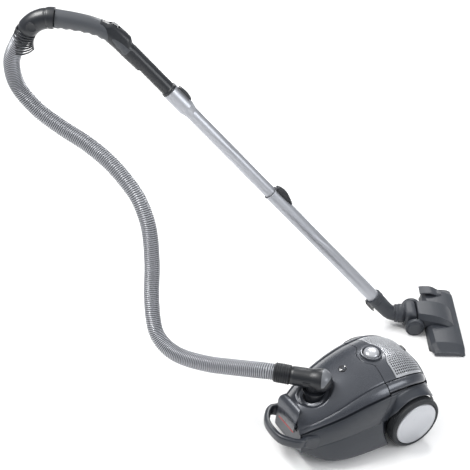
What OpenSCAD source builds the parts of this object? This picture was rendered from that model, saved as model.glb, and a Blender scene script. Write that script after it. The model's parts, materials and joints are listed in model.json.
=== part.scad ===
// Cylinder vacuum cleaner: a wheeled canister with a dust bag, a ribbed hose, a curved grip,
// a telescopic wand and a floor nozzle. Millimetres, +Z up, the floor is z = 0.
// The canister looks towards -X. The wand leans in one upright plane that holds the nozzle's neck.

/* [Canister] */
// Length of the housing from the front wall to the rear wall
body_l = 336; // [300:1:420]
// Width across the two side rails at the widest place
body_w = 216; // [200:1:260]
// Height of the crown of the lid above the floor
body_h = 202; // [160:1:260]
// Wall thickness of the moulded shells
wall = 3; // [2:0.5:4]
// Gap at the seams between two shells
seam = 0.6; // [0.4:0.1:1.2]
// Height of the underside above the floor
ground_gap = 10; // [6:1:20]

/* [Wheels] */
// Radius of a rear wheel
wheel_r = 67; // [55:1:75]
// Width of a rear wheel
wheel_w = 27; // [20:1:34]
// Radius of a rear stub axle
axle_r = 6; // [4:0.5:8]
// Radial running clearance of wheels, rollers and spindles
run_gap = 0.05; // [0.02:0.01:0.1]
// Radius of the front caster roller
caster_r = 16; // [12:1:20]

/* [Hose] */
// Outer diameter of the ribbed hose
hose_d = 39; // [32:1:42]

/* [Wand] */
// Outer diameter of the outer wand tube
outer_d = 35; // [28:0.5:44]
// Wall of both metal tubes
tube_wall = 1; // [0.8:0.1:1.5]
// Radial gap between the outer and the inner tube
tube_gap = 0.9; // [0.5:0.1:1.2]
// Distance from the elbow's bend to the mouth of the outer tube
outer_mouth = 502; // [420:1:560]
// Distance from the elbow's bend to the mouth of the bell
bell_mouth = 869; // [800:1:960]
// Lean of the wand above the floor
wand_lean = 49.3; // [40:0.1:60]

/* [Nozzle] */
// Width of the nozzle head
head_w = 268; // [240:1:300]
// Depth of the nozzle head, front to back
head_d = 96; // [80:1:110]
// Height of the neck's axis above the floor
neck_z = 37; // [34:1:44]
// Radius of a nozzle wheel
roller_r = 25; // [20:1:28]

/* [Hidden] */

// Colours
dark = [0.20, 0.21, 0.23];
grey = [0.34, 0.35, 0.38];
black = [0.06, 0.06, 0.07];
silver = [0.75, 0.76, 0.78];
metal = [0.80, 0.81, 0.83];
white = [0.90, 0.89, 0.85];

// Places of the three groups; the shift puts the origin under the middle of the footprint
frame_shift = [-52.8, -274.8, 0];
canister_at = [0, -26, 0];
nozzle_at = [355.7, 214.3, 0];
nozzle_turn = -31;

// Canister outline at eight stations along its length, as shares of length, width and height
front_x = -148;
rear_x = front_x + body_l;
station = [0, 0.11, 0.26, 0.44, 0.62, 0.80, 0.93, 1];
rail_share = [0.46, 0.62, 0.77, 0.86, 0.91, 0.92, 0.84, 0.68];
seam_share = [0.52, 0.74, 0.90, 0.98, 1, 0.99, 0.88, 0.70];
rail_height = [0.46, 0.545, 0.64, 0.73, 0.775, 0.76, 0.68, 0.58];
seam_height = [0.22, 0.32, 0.39, 0.425, 0.45, 0.48, 0.50, 0.50];
crown_height = [0.67, 0.74, 0.855, 0.955, 1, 0.975, 0.88, 0.74];
base_height = [28, 7, 0, 0, 0, 0, 6, 18];
crown_power = 2.6;
tub_power = 5;
tub_flare = 0.28;
side_bulge = 4;

function mix(a, b, t) = a + (b - a) * t;
function clamp(v, low, high) = max(low, min(high, v));
function smooth(t) = t * t * (3 - 2 * t);

// Smooth curve through a list of values at the stations
function slope(list, i) =
  i == 0 ? (list[1] - list[0]) / (station[1] - station[0])
  : i == len(list) - 1 ? (list[i] - list[i - 1]) / (station[i] - station[i - 1])
  : (list[i + 1] - list[i - 1]) / (station[i + 1] - station[i - 1]);
function span(t, i = 0) = (i >= len(station) - 2 || t < station[i + 1]) ? i : span(t, i + 1);
function hermite(list, i, t, step) =
  let (u = (t - station[i]) / step)
  (2 * pow(u, 3) - 3 * u * u + 1) * list[i] + (pow(u, 3) - 2 * u * u + u) * step * slope(list, i)
  + (3 * u * u - 2 * pow(u, 3)) * list[i + 1] + (pow(u, 3) - u * u) * step * slope(list, i + 1);
function curve(list, x) =
  let (t = clamp((x - front_x) / body_l, 0, 1), i = span(t))
  hermite(list, i, t, station[i + 1] - station[i]);

function rail_y(x) = body_w / 2 * curve(rail_share, x);
function rail_z(x) = body_h * curve(rail_height, x);
function seam_y(x) = body_w / 2 * curve(seam_share, x);
function seam_z(x) = body_h * curve(seam_height, x);
function crown_z(x) = body_h * curve(crown_height, x);
function base_z(x) = ground_gap + curve(base_height, x);

// Rear wheels and the tub's waist between them
wheel_x = rear_x - 71;
wheel_gap = 5;
wheel_inner_y = 106;
waist_y = wheel_inner_y - 7;
arch_r = wheel_r + wheel_gap;
waist_run = 14;
waist_start = wheel_x - arch_r - waist_run;
function waist(x) = smooth(clamp((x - waist_start) / waist_run, 0, 1));
function tub_y(x) =
  mix(seam_y(x), min(seam_y(x), waist_y), waist(x));

// The tub spreads towards its foot, except at the front end and beside the wheels
function flare(x) = tub_flare * smooth(clamp((x - front_x) / 60, 0, 1)) * (1 - waist(x));

// The three surfaces of the housing, each with an inset d
function top_point(x, w, d) =
  [x, w * (rail_y(x) - d), rail_z(x) + (crown_z(x) - rail_z(x) - d) * (1 - pow(abs(w), crown_power))];
function side_point(x, v, d, side) =
  [x, side * (mix(seam_y(x), rail_y(x), v) + side_bulge * sin(180 * v) - d),
   mix(seam_z(x) + seam, rail_z(x) - seam, v)];
function tub_point(x, a, d) =
  let (across = pow(abs(sin(a)), 2 / tub_power), down = pow(abs(cos(a)), 2 / tub_power))
  [x, (tub_y(x) - d) * sign(a) * across * (1 + flare(x) * down),
   seam_z(x) - (seam_z(x) - base_z(x) - d) * down];

// A closed sheet between an outer and an inner grid of points, nu by nv
module sheet(outer, inner) {
  nu = len(outer);
  nv = len(outer[0]);
  points = concat([for (row = outer) for (p = row) p], [for (row = inner) for (p = row) p]);
  half = nu * nv;
  faces = concat(
    [for (i = [0:nu - 2]) for (j = [0:nv - 2])
      [i * nv + j, i * nv + j + 1, (i + 1) * nv + j + 1, (i + 1) * nv + j]],
    [for (i = [0:nu - 2]) for (j = [0:nv - 2])
      [half + (i + 1) * nv + j, half + (i + 1) * nv + j + 1, half + i * nv + j + 1, half + i * nv + j]],
    [for (i = [0:nu - 2]) [i * nv, (i + 1) * nv, half + (i + 1) * nv, half + i * nv]],
    [for (i = [0:nu - 2])
      [(i + 1) * nv + nv - 1, i * nv + nv - 1, half + i * nv + nv - 1, half + (i + 1) * nv + nv - 1]],
    [for (j = [0:nv - 2]) [j + 1, j, half + j, half + j + 1]],
    [for (j = [0:nv - 2])
      [(nu - 1) * nv + j, (nu - 1) * nv + j + 1, half + (nu - 1) * nv + j + 1, half + (nu - 1) * nv + j]]
  );
  triangles = [for (f = faces) each [[f[0], f[1], f[2]], [f[0], f[2], f[3]]]];
  polyhedron(points, triangles);
}

// A tube or rod swept along points in an upright plane or in space
function unit(v) = v / norm(v);
function tangent(path, i) = unit(path[min(i + 1, len(path) - 1)] - path[max(i - 1, 0)]);
function carry(path, i, n) =
  i >= len(path) ? []
  : let (t = tangent(path, i), m = unit(n - (n * t) * t)) concat([m], carry(path, i + 1, m));
function rings(path, wide, high, sides, first) =
  let (normals = carry(path, 0, first))
  [for (i = [0:len(path) - 1])
    let (t = tangent(path, i), n = normals[i], c = cross(t, n))
    [for (k = [0:sides - 1]) path[i] + n * high[i] * cos(360 * k / sides)
      + c * wide[i] * sin(360 * k / sides)]];
module swept(path, wide, high, sides = 12, first = [0, 1, 0]) {
  ring = rings(path, wide, high, sides, first);
  last = (len(path) - 1) * sides;
  faces = concat(
    [[for (k = [0:sides - 1]) k]],
    [[for (k = [sides - 1:-1:0]) last + k]],
    [for (i = [0:len(path) - 2]) for (k = [0:sides - 1]) let (a = i * sides, b = (k + 1) % sides)
      each [[a + k, a + sides + k, a + sides + b], [a + k, a + sides + b, a + b]]]
  );
  polyhedron([for (row = ring) for (p = row) p], faces);
}

// A smooth curve through hand-chosen points, with a few steps between each pair
function way(p, i, u) =
  let (a = p[max(i - 1, 0)], b = p[i], c = p[i + 1], d = p[min(i + 2, len(p) - 1)])
  0.5 * (2 * b + (c - a) * u + (2 * a - 5 * b + 4 * c - d) * u * u
  + (3 * b - a - 3 * c + d) * pow(u, 3));
function smooth_path(p, steps) =
  concat([for (i = [0:len(p) - 2]) for (k = [0:steps - 1]) way(p, i, k / steps)], [p[len(p) - 1]]);

module pipe(r, inner, length) {
  difference() {
    cylinder(r = r, h = length, $fn = 64);
    translate([0, 0, -1]) cylinder(r = inner, h = length + 2, $fn = 64);
  }
}

module at_canister() translate(frame_shift + canister_at) children();
module at_nozzle() translate(frame_shift + nozzle_at) rotate([0, 0, nozzle_turn]) children();
bend_x = -26;
module at_wand() at_nozzle() translate([bend_x, 0, neck_z]) rotate([0, wand_lean - 90, 0]) children();

// Front caster and its well
caster_x = -92;
well_r = 35;
well_top = 46;
trail = 11;

// ---------- Canister shells ----------
module lower_housing() color(dark) at_canister() {
  xs = concat([for (i = [0:9]) mix(front_x, waist_start, i / 9)],
    [for (i = [1:3]) waist_start + waist_run * i / 3],
    [for (i = [1:7]) mix(waist_start + waist_run, rear_x, i / 7)]);
  angles = [for (k = [-8:8]) sign(k) * 90 * pow(abs(k) / 8, 0.8)];
  difference() {
    sheet([for (x = xs) [for (a = angles) tub_point(x, a, wall)]],
      [for (x = xs) [for (a = angles) tub_point(x, a, 0)]]);
    translate([caster_x, 0, 0]) cylinder(r = well_r - 1, h = well_top - 4, $fn = 64);
  }
  caster_well();
}

side_break = 0.60;
function break_x(v) = mix(front_x + side_break * body_l - 26, front_x + side_break * body_l + 10, v);
module side_panel(side) color(dark) at_canister() {
  grid = function (d) [for (i = [0:12]) [for (j = [0:5])
    let (v = j / 5, x = mix(front_x, break_x(v), i / 12)) side_point(x, v, d, side)]];
  if (side < 0) sheet(grid(0), grid(wall));
  else sheet(grid(wall), grid(0));
}
arch_lip = 4;
function arch_z(x) =
  wheel_r + sqrt(max(0, pow(arch_r + arch_lip, 2) - pow(x - wheel_x, 2)));
function fender_low(x) =
  clamp((arch_z(x) - seam_z(x)) / (rail_z(x) - seam_z(x)), 0, 0.9)
  * (abs(x - wheel_x) < arch_r + arch_lip ? 1 : 0);
// Share of the fender's height where its lower edge lies, found in a few rounds along its slanted front
function fender_x(t, v) = mix(break_x(v) + seam, rear_x, t);
function fender_edge(t, v, rounds) =
  rounds == 0 ? v : fender_edge(t, fender_low(fender_x(t, v)), rounds - 1);
module fender(side) color(dark) at_canister() {
  grid = function (d) [for (i = [0:14]) [for (j = [0:4])
    let (t = i / 14, v = mix(fender_edge(t, 0, 8), 1, j / 4))
    side_point(fender_x(t, v), v, d, side)]];
  if (side < 0) sheet(grid(0), grid(wall));
  else sheet(grid(wall), grid(0));
}

module wheel_arches() color(black) at_canister() {
  for (side = [-1, 1])
    translate([wheel_x, side * (waist_y + 0.8), wheel_r]) rotate([side < 0 ? 90 : -90, 0, 0])
      rotate([0, 0, side < 0 ? 12 : -168])
        rotate_extrude(angle = 156, $fn = 96) translate([arch_r - 2.5, 0]) square([2.2, 8]);
}

// A closed outline of the housing's section at x, from the seam over the crown or down the tub
function upper_outline(x, d, w) =
  [for (k = [-8:8]) let (p = top_point(x, k / 8 * w, d)) [p[1], p[2]]];
function lower_outline(x, d) =
  [for (k = [8:-1:-8]) let (p = tub_point(x, 90 * k / 8, d)) [p[1], p[2]]];
module section_plate(x, thick, outline)
  translate([x, 0, 0]) rotate([90, 0, 90]) linear_extrude(thick) polygon(outline);

module front_plate() color(dark) at_canister()
  section_plate(front_x - wall, wall - 0.2, concat(
    [[-rail_y(front_x), rail_z(front_x) - seam], [rail_y(front_x), rail_z(front_x) - seam]],
    lower_outline(front_x, 0)));

module rear_wall() color(dark) at_canister() difference() {
  section_plate(rear_x + 0.2, wall, concat(upper_outline(rear_x, 0, 1), lower_outline(rear_x, 0)));
  translate([rear_x - 1, outlet_y, outlet_z]) rotate([0, 90, 0])
    cylinder(r = outlet_r, h = wall + 2, $fn = 48);
}

// The lid's rear edge bows round the power knob
hinge_x = rear_x - 128;
hinge_z = crown_z(hinge_x) - 4;
knob_x = rear_x - 115;
knob_r = 19;
seat_r = 26;
lid_bow = 19;
function lid_end(w) = hinge_x - 3 - lid_bow * exp(-pow(w * rail_y(hinge_x) / 27, 4));
inlet_x = -83;
inlet_r = 24;
module lid() color(grey) at_canister() {
  grid = function (d) [for (i = [0:14]) [for (k = [-9:9])
    let (w = k / 9) top_point(mix(front_x, lid_end(w), i / 14), w, d)]];
  difference() {
    sheet(grid(0), grid(wall));
    translate([inlet_x, 0, 0]) cylinder(r = inlet_r, h = body_h, $fn = 64);
    translate([window_x, 0, 0]) cylinder(r = window_r, h = body_h + 10, $fn = 48);
  }
  section_plate(front_x - wall, wall, upper_outline(front_x, 0, 1));
  for (side = [-1, 1])
    translate([hinge_x, side * pin_y, hinge_z]) rotate([90, 0, 0]) difference() {
      union() {
        cylinder(r = 4, h = 5, center = true, $fn = 32);
        translate([-9, -6, -2.5]) cube([9, 6, 5]);
      }
      cylinder(r = pin_r + run_gap, h = 8, center = true, $fn = 32);
    }
}
pin_r = 2;
pin_y = 32;
module hinge_pins() color(silver) at_canister() for (side = [-1, 1])
  translate([hinge_x, side * pin_y, hinge_z]) rotate([90, 0, 0])
    cylinder(r = pin_r, h = 11, center = true, $fn = 32);

grille_x0 = knob_x + seat_r + 1;
grille_x1 = rear_x - 9;
grille_w = 0.78;
module rear_deck() color(grey) at_canister() {
  deck = function (d) [for (i = [0:4]) [for (k = [-8:8])
    let (w = grille_w * k / 8) top_point(mix(lid_end(w) + 1.5, grille_x0, i / 4), w, d)]];
  strip = function (d) [for (i = [0:2]) [for (k = [-8:8])
    let (w = grille_w * k / 8) top_point(mix(grille_x1 + seam, rear_x, i / 2), w, d)]];
  difference() {
    sheet(deck(0), deck(wall));
    translate([knob_x, 0, 0]) cylinder(r = seat_r - 2, h = body_h + 10, $fn = 64);
    for (side = [-1, 1]) translate([hinge_x - 9, side * pin_y - 4, hinge_z - 8]) cube([15, 8, 20]);
  }
  sheet(strip(0), strip(wall));
}

module carry_handle() color(dark) at_canister() {
  half = rail_y(front_x) + 8;
  z = seam_z(front_x) + 44;
  reach = 45;
  path = smooth_path([[front_x - wall, -half + 6, z], [front_x - 14, -half, z],
    [front_x - 31, -half + 12, z - 1], [front_x - reach + 4, -half / 2.2, z - 2],
    [front_x - reach, 0, z - 3], [front_x - reach + 4, half / 2.2, z - 2],
    [front_x - 31, half - 12, z - 1], [front_x - 14, half, z], [front_x - wall, half - 6, z]], 3);
  n = len(path);
  swept(path, [for (i = [0:n - 1]) 7], [for (i = [0:n - 1]) 13], 12, [0, 0, 1]);
}

// ---------- Inside the canister ----------
bay_x = hinge_x - 14;
module partition() color(black) at_canister() difference() {
  section_plate(bay_x - wall, wall, concat(upper_outline(bay_x, wall + 2, 0.97),
    lower_outline(bay_x, wall + 1)));
  translate([bay_x - wall - 1, motor_y, motor_z]) rotate([0, 90, 0])
    cylinder(r = 30, h = wall + 2, $fn = 48);
}
module motor_filter() color(white) at_canister()
  translate([bay_x - wall - 9, motor_y - 44, motor_z - 40]) cube([8.6, 88, 80]);

motor_y = -34;
motor_z = 76;
motor_r = 50;
motor_l = 84;
motor_x = bay_x + 8;
module motor_housing() color(grey) at_canister() translate([motor_x, motor_y, motor_z])
  rotate([0, 90, 0]) difference() {
    cylinder(r = motor_r, h = motor_l, $fn = 72);
    translate([0, 0, 3]) cylinder(r = motor_r - 3, h = motor_l - 6, $fn = 72);
    translate([0, 0, -1]) cylinder(r = 11, h = motor_l + 2, $fn = 48);
    for (turn = [0:45:315]) rotate([0, 0, turn]) translate([30, 0, -1])
      cylinder(r = 7, h = motor_l + 2, $fn = 24);
  }
module motor_bearings() color(silver) at_canister()
  for (x = [motor_x, motor_x + motor_l - 6]) translate([x, motor_y, motor_z]) rotate([0, 90, 0])
    pipe(11, 4 + run_gap, 6);
module motor_rotor() color(metal) at_canister() translate([motor_x, motor_y, motor_z])
  rotate([0, 90, 0]) {
    translate([0, 0, -3]) cylinder(r = 4, h = motor_l + 6, $fn = 32);
    translate([0, 0, 9]) cylinder(r = 42, h = 2, $fn = 64);
    for (turn = [0:45:315]) rotate([0, 0, turn]) translate([12, -1, 10]) cube([29, 2, 9]);
    translate([0, 0, 30]) cylinder(r = 20, h = 38, $fn = 48);
  }

reel_y = 52;
reel_z = 76;
reel_x = rear_x - 72;
reel_r = 54;
module cord_reel() color(black) at_canister() translate([reel_x, reel_y, reel_z])
  rotate([90, 0, 0]) difference() {
    union() {
      for (z = [-17, 15]) translate([0, 0, z]) cylinder(r = reel_r, h = 2, $fn = 64);
      cylinder(r = 26, h = 33, center = true, $fn = 48);
    }
    cylinder(r = 5 + run_gap, h = 60, center = true, $fn = 32);
  }
module reel_spindle() color(silver) at_canister() translate([reel_x, reel_y, reel_z]) {
  rotate([90, 0, 0]) cylinder(r = 5, h = 44, center = true, $fn = 32);
  translate([-9, 22, -50]) cube([18, 4, 62]);
}
outlet_y = 44;
outlet_z = 70;
outlet_r = 9;
module cable_outlet() color(black) at_canister() translate([rear_x - 6, outlet_y, outlet_z])
  rotate([0, 90, 0]) {
    pipe(outlet_r, 5, 9.2);
    translate([0, 0, 9.2]) pipe(outlet_r + 3, 5, 2);
  }
module circuit_board() color([0.1, 0.35, 0.2]) at_canister() {
  translate([knob_x - 20, -46, crown_z(knob_x) - 40]) cube([44, 60, 1.6]);
  translate([knob_x, 0, crown_z(knob_x) - 39]) cylinder(r = 7, h = 12, $fn = 32);
}
bag_r = 24;
bag_low = well_top + 10;
bag_high = 96;
module dust_bag() color(white) at_canister() {
  hull() {
    for (side = [-1, 1]) for (z = [bag_low + bag_r, bag_high])
      translate([front_x + 60, side * 30, z]) sphere(r = bag_r, $fn = 16);
    for (side = [-1, 1]) for (z = [bag_low, bag_high])
      translate([bay_x - 44, side * 48, z]) sphere(r = bag_r, $fn = 16);
  }
  translate([inlet_x, 0, bag_high + bag_r - 2]) pipe(34, 16, 5);
}

module exhaust_grille() color(silver) at_canister() {
  grid = function (d) [for (i = [0:8]) [for (k = [-8:8])
    top_point(mix(grille_x0 + seam, grille_x1, i / 8), (grille_w - 0.005) * k / 8, d)]];
  sheet(grid(0), grid(wall));
  translate([grille_x1 - 9, -9, crown_z(grille_x1 - 5) - 1.5]) cube([9, 18, 3]);
}
module exhaust_filter() color(white) at_canister()
  translate([grille_x0 + 8, -46, 138]) cube([58, 92, 12]);

module knob_seat() color(black) at_canister() translate([knob_x, 0, crown_z(knob_x) - 14])
  rotate_extrude($fn = 72)
    polygon([[5 + run_gap, 0], [seat_r - 3, 0], [seat_r - 2, 10], [seat_r, 14], [seat_r, 17],
      [seat_r - 3, 18], [knob_r + 1.2, 12], [knob_r + 1.2, 3], [5 + run_gap, 3]]);
module power_knob() color(silver) at_canister() translate([knob_x, 0, crown_z(knob_x) - 14])
  rotate_extrude($fn = 72)
    polygon([[0, -8], [5, -8], [5, 3.4], [knob_r, 3.4], [knob_r, 17], [knob_r - 2, 20],
      [knob_r - 7, 22], [0, 23.5]]);

pedal_x0 = hinge_x + 3;
pedal_x1 = rear_x - 8;
function pedal_out(x) = (rail_y(x) - wall - 1) / rail_y(x);
module pedal(side) color(grey) at_canister() {
  grid = function (d) [for (i = [0:10]) [for (j = [0:4])
    let (x = mix(pedal_x0, pedal_x1, i / 10), w = mix(grille_w + 0.012, pedal_out(x), j / 4))
    top_point(x, side * w, 0) + [0, 0, 3 * sin(180 * j / 4) - d]]];
  if (side > 0) sheet(grid(0), grid(5));
  else sheet(grid(5), grid(0));
}

// ---------- Rear wheels ----------
cap_r = wheel_r - 8;
module tyre(side) color(black) at_canister() translate([wheel_x, side * wheel_inner_y, wheel_r])
  rotate([side < 0 ? 90 : -90, 0, 0]) rotate_extrude($fn = 96)
    polygon([[cap_r, 0], [wheel_r - 4, 0], [wheel_r - 1, 3], [wheel_r, 8], [wheel_r, wheel_w - 8],
      [wheel_r - 1, wheel_w - 3], [wheel_r - 4, wheel_w], [cap_r, wheel_w]]);
module hub(side) color(grey) at_canister() translate([wheel_x, side * wheel_inner_y, wheel_r])
  rotate([side < 0 ? 90 : -90, 0, 0]) rotate_extrude($fn = 96)
    polygon([[axle_r + run_gap, 0], [14, 0], [14, 6], [cap_r, 6], [cap_r, 12], [14, 12],
      [14, 18], [axle_r + run_gap, 18]]);
module wheel_cap(side) color(silver) at_canister()
  translate([wheel_x, side * wheel_inner_y, wheel_r]) rotate([side < 0 ? 90 : -90, 0, 0])
    rotate_extrude($fn = 96)
      polygon([[0, wheel_w + 1], [0, wheel_w + 4], [30, wheel_w + 3], [cap_r - 7, wheel_w],
        [cap_r, wheel_w - 3], [cap_r, 12], [cap_r - 3, 12], [cap_r - 3, wheel_w - 5],
        [cap_r - 9, wheel_w - 3], [30, wheel_w]]);
module rear_axles() color(metal) at_canister() for (side = [-1, 1])
  translate([wheel_x, side * (waist_y - 8), wheel_r]) rotate([side < 0 ? 90 : -90, 0, 0]) {
    cylinder(r = axle_r, h = 35, $fn = 48);
    cylinder(r = 13, h = 4.5, $fn = 48);
    translate([0, 0, 33.5]) cylinder(r = 10, h = 2.5, $fn = 48);
  }

// ---------- Front caster ----------
module caster_well() translate([caster_x, 0, 0]) difference() {
  translate([0, 0, ground_gap]) cylinder(r = well_r + wall, h = well_top - ground_gap, $fn = 64);
  translate([0, 0, ground_gap - 1]) cylinder(r = well_r, h = well_top - ground_gap - wall + 1, $fn = 64);
  translate([0, 0, 0]) cylinder(r = 5 + run_gap, h = well_top + 1, $fn = 32);
}
module caster_fork() color(black) at_canister() translate([caster_x, 0, 0]) {
  translate([0, 0, 38]) cylinder(r = 5, h = 14, $fn = 32);
  translate([0, 0, 36]) cylinder(r = 14, h = 4, $fn = 48);
  for (side = [-1, 1]) translate([-6, side * 9 - 1.5, 12]) cube([trail + 12, 3, 25]);
  translate([trail, 0, caster_r]) rotate([90, 0, 0]) cylinder(r = 2.5, h = 21, center = true, $fn = 32);
}
module caster_roller() color(grey) at_canister() translate([caster_x + trail, 0, caster_r])
  rotate([90, 0, 0]) rotate_extrude($fn = 64)
    polygon([[2.5 + run_gap, -7], [caster_r - 2, -7], [caster_r, -5], [caster_r, 5],
      [caster_r - 2, 7], [2.5 + run_gap, 7]]);

// ---------- On the lid ----------
latch_w = 74;
module lid_latch() color(grey) at_canister() {
  translate([front_x - wall - 6, 0, 0]) hull() {
    translate([0, -latch_w / 2, 88]) cube([4, latch_w, 4]);
    translate([2, -latch_w / 2 + 8, 136]) cube([3.8, latch_w - 16, 6]);
  }
}
inlet_h = 31;
inlet_top = crown_z(inlet_x) + 0.3;
inlet_low = inlet_top - inlet_h;
module inlet_ring() color(black) at_canister() translate([inlet_x, 0, 0]) {
  translate([0, 0, inlet_low]) pipe(inlet_r, 20.2, inlet_h);
  translate([0, 0, inlet_top]) pipe(inlet_r + 4, 20.2, 3.5);
}
window_x = -7;
window_r = 8;
module indicator_window() color(black) at_canister()
  translate([window_x, 0, crown_z(window_x) - 5]) cylinder(r = window_r, h = 5, $fn = 48);

// ---------- Hose connector ----------
barrel_lift = 30;
barrel_z = inlet_top + barrel_lift;
barrel_r = 23;
spin = 135;
module at_barrel() at_canister() translate([inlet_x, 0, barrel_z]) rotate([0, 90, spin]) children();
module connector() color(dark) difference() {
  union() {
    at_canister() translate([inlet_x, 0, inlet_low]) cylinder(r = 19.9, h = barrel_z - inlet_low, $fn = 64);
    at_barrel() translate([0, 0, -15]) sphere(r = barrel_r, $fn = 64);
    at_barrel() translate([0, 0, -15]) cylinder(r = barrel_r, h = 70, $fn = 64);
    at_barrel() translate([0, 0, 55]) cylinder(r = 17, h = 20, $fn = 64);
  }
  at_canister() translate([inlet_x, 0, inlet_low - 6]) cylinder(r = 16, h = barrel_z - inlet_low + 6, $fn = 64);
  at_barrel() translate([0, 0, -6]) cylinder(r = 14.5, h = 90, $fn = 64);
  at_barrel() translate([-5, barrel_r - 5, 8]) cube([10, 8, 16]);
}
module connector_button() color(black)
  at_barrel() translate([-4.6, barrel_r - 2.6, 8.4]) cube([9.2, 3.6, 15.2]);

cuff_l = 38;
module hose_cuff() color(black) at_barrel() translate([0, 0, 57]) rotate_extrude($fn = 72)
  polygon(concat([[17.3, 0], [17.3, 19], [hose_d / 2 + 0.7, 21], [hose_d / 2 + 0.7, cuff_l]],
    [for (k = [6:-1:0]) each [[21.8, 5.2 * k + 4.6], [23.2, 5.2 * k + 3.6], [23.2, 5.2 * k + 1.8],
      [21.8, 5.2 * k + 0.8]]], [[21.8, 0]]));

// Route of the hose, from inside the lower cuff to inside the sleeve at the grip
hose_route = [
  [-139, 30, 193], [-151, 42, 193], [-166, 58, 191], [-188, 87, 183], [-212, 122, 172],
  [-247, 172, 158], [-281, 233, 146], [-301, 280, 148], [-311, 318, 168], [-309, 342, 204],
  [-300, 363, 258], [-286, 381, 329], [-278, 401, 402], [-279, 422, 450], [-288, 455, 495],
  [-312, 517, 543], [-344, 580, 577], [-382, 638, 604], [-421, 690, 641], [-451, 721, 696],
  [-460, 715, 762], [-444, 697, 814], [-427, 684, 843], [-422, 682, 851], [-415, 677, 859]
];
hose_steps = 2;
module hose() color([0.6, 0.61, 0.63]) translate(frame_shift) {
  path = smooth_path(hose_route, hose_steps);
  size = [for (p = path) hose_d / 2];
  swept(path, size, size, 10, [0, 0, 1]);
}

// ---------- Handle, in the wand's upright plane ----------
sleeve_at = [-855, 0, 807];
sleeve_arc = 68;
module at_sleeve() at_nozzle() translate(sleeve_at) rotate([90, 0, 0]) children();
sleeve_bore = hose_d / 2 + 0.3;
module hose_sleeve() color(black) at_sleeve() rotate([0, 0, 82]) difference() {
  rotate_extrude(angle = 66, $fn = 96) translate([sleeve_arc, 0]) circle(r = sleeve_bore + 4.2, $fn = 48);
  rotate([0, 0, -1]) rotate_extrude(angle = 68, $fn = 96) translate([sleeve_arc, 0])
    circle(r = sleeve_bore, $fn = 48);
}
guard_ribs = 6;
module kink_guard() color(black) {
  for (k = [0:guard_ribs - 1]) at_sleeve() rotate([0, 0, 150.5 + 6.2 * k])
    translate([sleeve_arc, 0, 0]) rotate([90, 0, 0]) rotate([0, 0, 70]) rotate_extrude(angle = 220, $fn = 64)
      translate([sleeve_bore + 0.8, -1.1]) square([2.8, 2.2]);
  at_sleeve() rotate([0, 0, 148.1]) rotate_extrude(angle = 35, $fn = 96)
    translate([sleeve_arc - sleeve_bore - 3.6, -5]) square([2.6, 10]);
}

grip_route = [[-845, 0, 874.2], [-822, 0, 871], [-796, 0, 866.5], [-768, 0, 860], [-742, 0, 850],
  [-718, 0, 834], [-699, 0, 815], [-684, 0, 797]];
module grip() color(grey) at_nozzle() difference() {
  path = smooth_path(grip_route, 2);
  n = len(path) - 1;
  swept(path, [for (i = [0:n]) 19], [for (i = [0:n]) mix(22, 18, i / n)], 20, [0, 0, 1]);
  inside = smooth_path(concat([grip_route[0] - [4, 0, 0]], [for (i = [1:6]) grip_route[i]],
    [grip_route[7] + [3, 0, -4]]), 2);
  m = len(inside) - 1;
  swept(inside, [for (i = [0:m]) 15], [for (i = [0:m]) 15], 16, [0, 0, 1]);
}
grip_top = 1006;
module grip_tube() color(dark) {
  at_wand() difference() {
    union() {
      translate([0, 0, bell_mouth - 55]) cylinder(r = 15.2, h = 60, $fn = 64);
      translate([0, 0, bell_mouth + 0.4]) cylinder(r = 17.4, h = grip_top - bell_mouth - 1, $fn = 64);
      translate([0, 0, bell_mouth + 0.4]) cylinder(r = 19.5, h = 6, $fn = 64);
    }
    translate([0, 0, bell_mouth - 60]) cylinder(r = 13, h = 220, $fn = 64);
  }
  saddle();
}
// The saddle with the air slider, on top of the bend
saddle_at = [-731, 0, 843];
saddle_lean = -56.3;
saddle_low = 16.5;
module at_saddle() at_nozzle() translate(saddle_at) rotate([0, saddle_lean, 0]) children();
module saddle() color(dark) at_saddle() difference() {
  translate([saddle_low, -9, -28]) cube([9.5, 18, 56]);
  translate([saddle_low + 4.5, -6, -17]) cube([6, 12, 34]);
}
module air_slider() color(black) at_saddle() translate([saddle_low + 4.8, -5.7, -16.5]) {
  cube([4.2, 11.4, 17]);
  translate([4.2, 0, 3]) cube([2.4, 11.4, 11]);
}

// ---------- Telescopic wand ----------
inner_d = outer_d - 2 * tube_wall - 2 * tube_gap;
bell_l = 62;
bell_r = 20;
inner_low = outer_mouth - 110;
module bell_profile() rotate_extrude($fn = 96) {
  r = inner_d / 2;
  polygon([[r - tube_wall, inner_low], [r, inner_low], [r, bell_mouth - bell_l - 12],
    [bell_r, bell_mouth - bell_l + 6], [bell_r, bell_mouth], [15.4, bell_mouth],
    [15.4, bell_mouth - 57], [r - tube_wall, bell_mouth - bell_l - 10]]);
}

module inner_tube() color(metal) at_wand() difference() {
  bell_profile();
  translate([bell_r - 2.6, -6.4, bell_mouth - 46.4]) cube([8, 12.8, 40.8]);
}
module bell_button() color(black) at_wand() translate([bell_r, -6, bell_mouth - 46]) hull() {
  cube([2, 12, 40]);
  translate([2, 0, 6]) cube([5, 12, 30]);
}
outer_low = 31;
catch_l = 62;
module outer_tube() color(metal) at_wand() {
  translate([0, 0, outer_low]) pipe(outer_d / 2, outer_d / 2 - tube_wall, outer_mouth - outer_low);
  translate([0, 0, outer_mouth - 4]) pipe(outer_d / 2 + 1.4, outer_d / 2 - tube_wall, 4);
}
module tube_catch() color(black) at_wand() translate([outer_d / 2 + 1.8, 0, outer_mouth]) hull() {
  translate([0, -8, -8]) cube([4, 16, 8]);
  translate([0, -6, -catch_l]) cube([1, 12, 4]);
  translate([8, -5, -16]) cube([5, 10, 8]);
}

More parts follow.
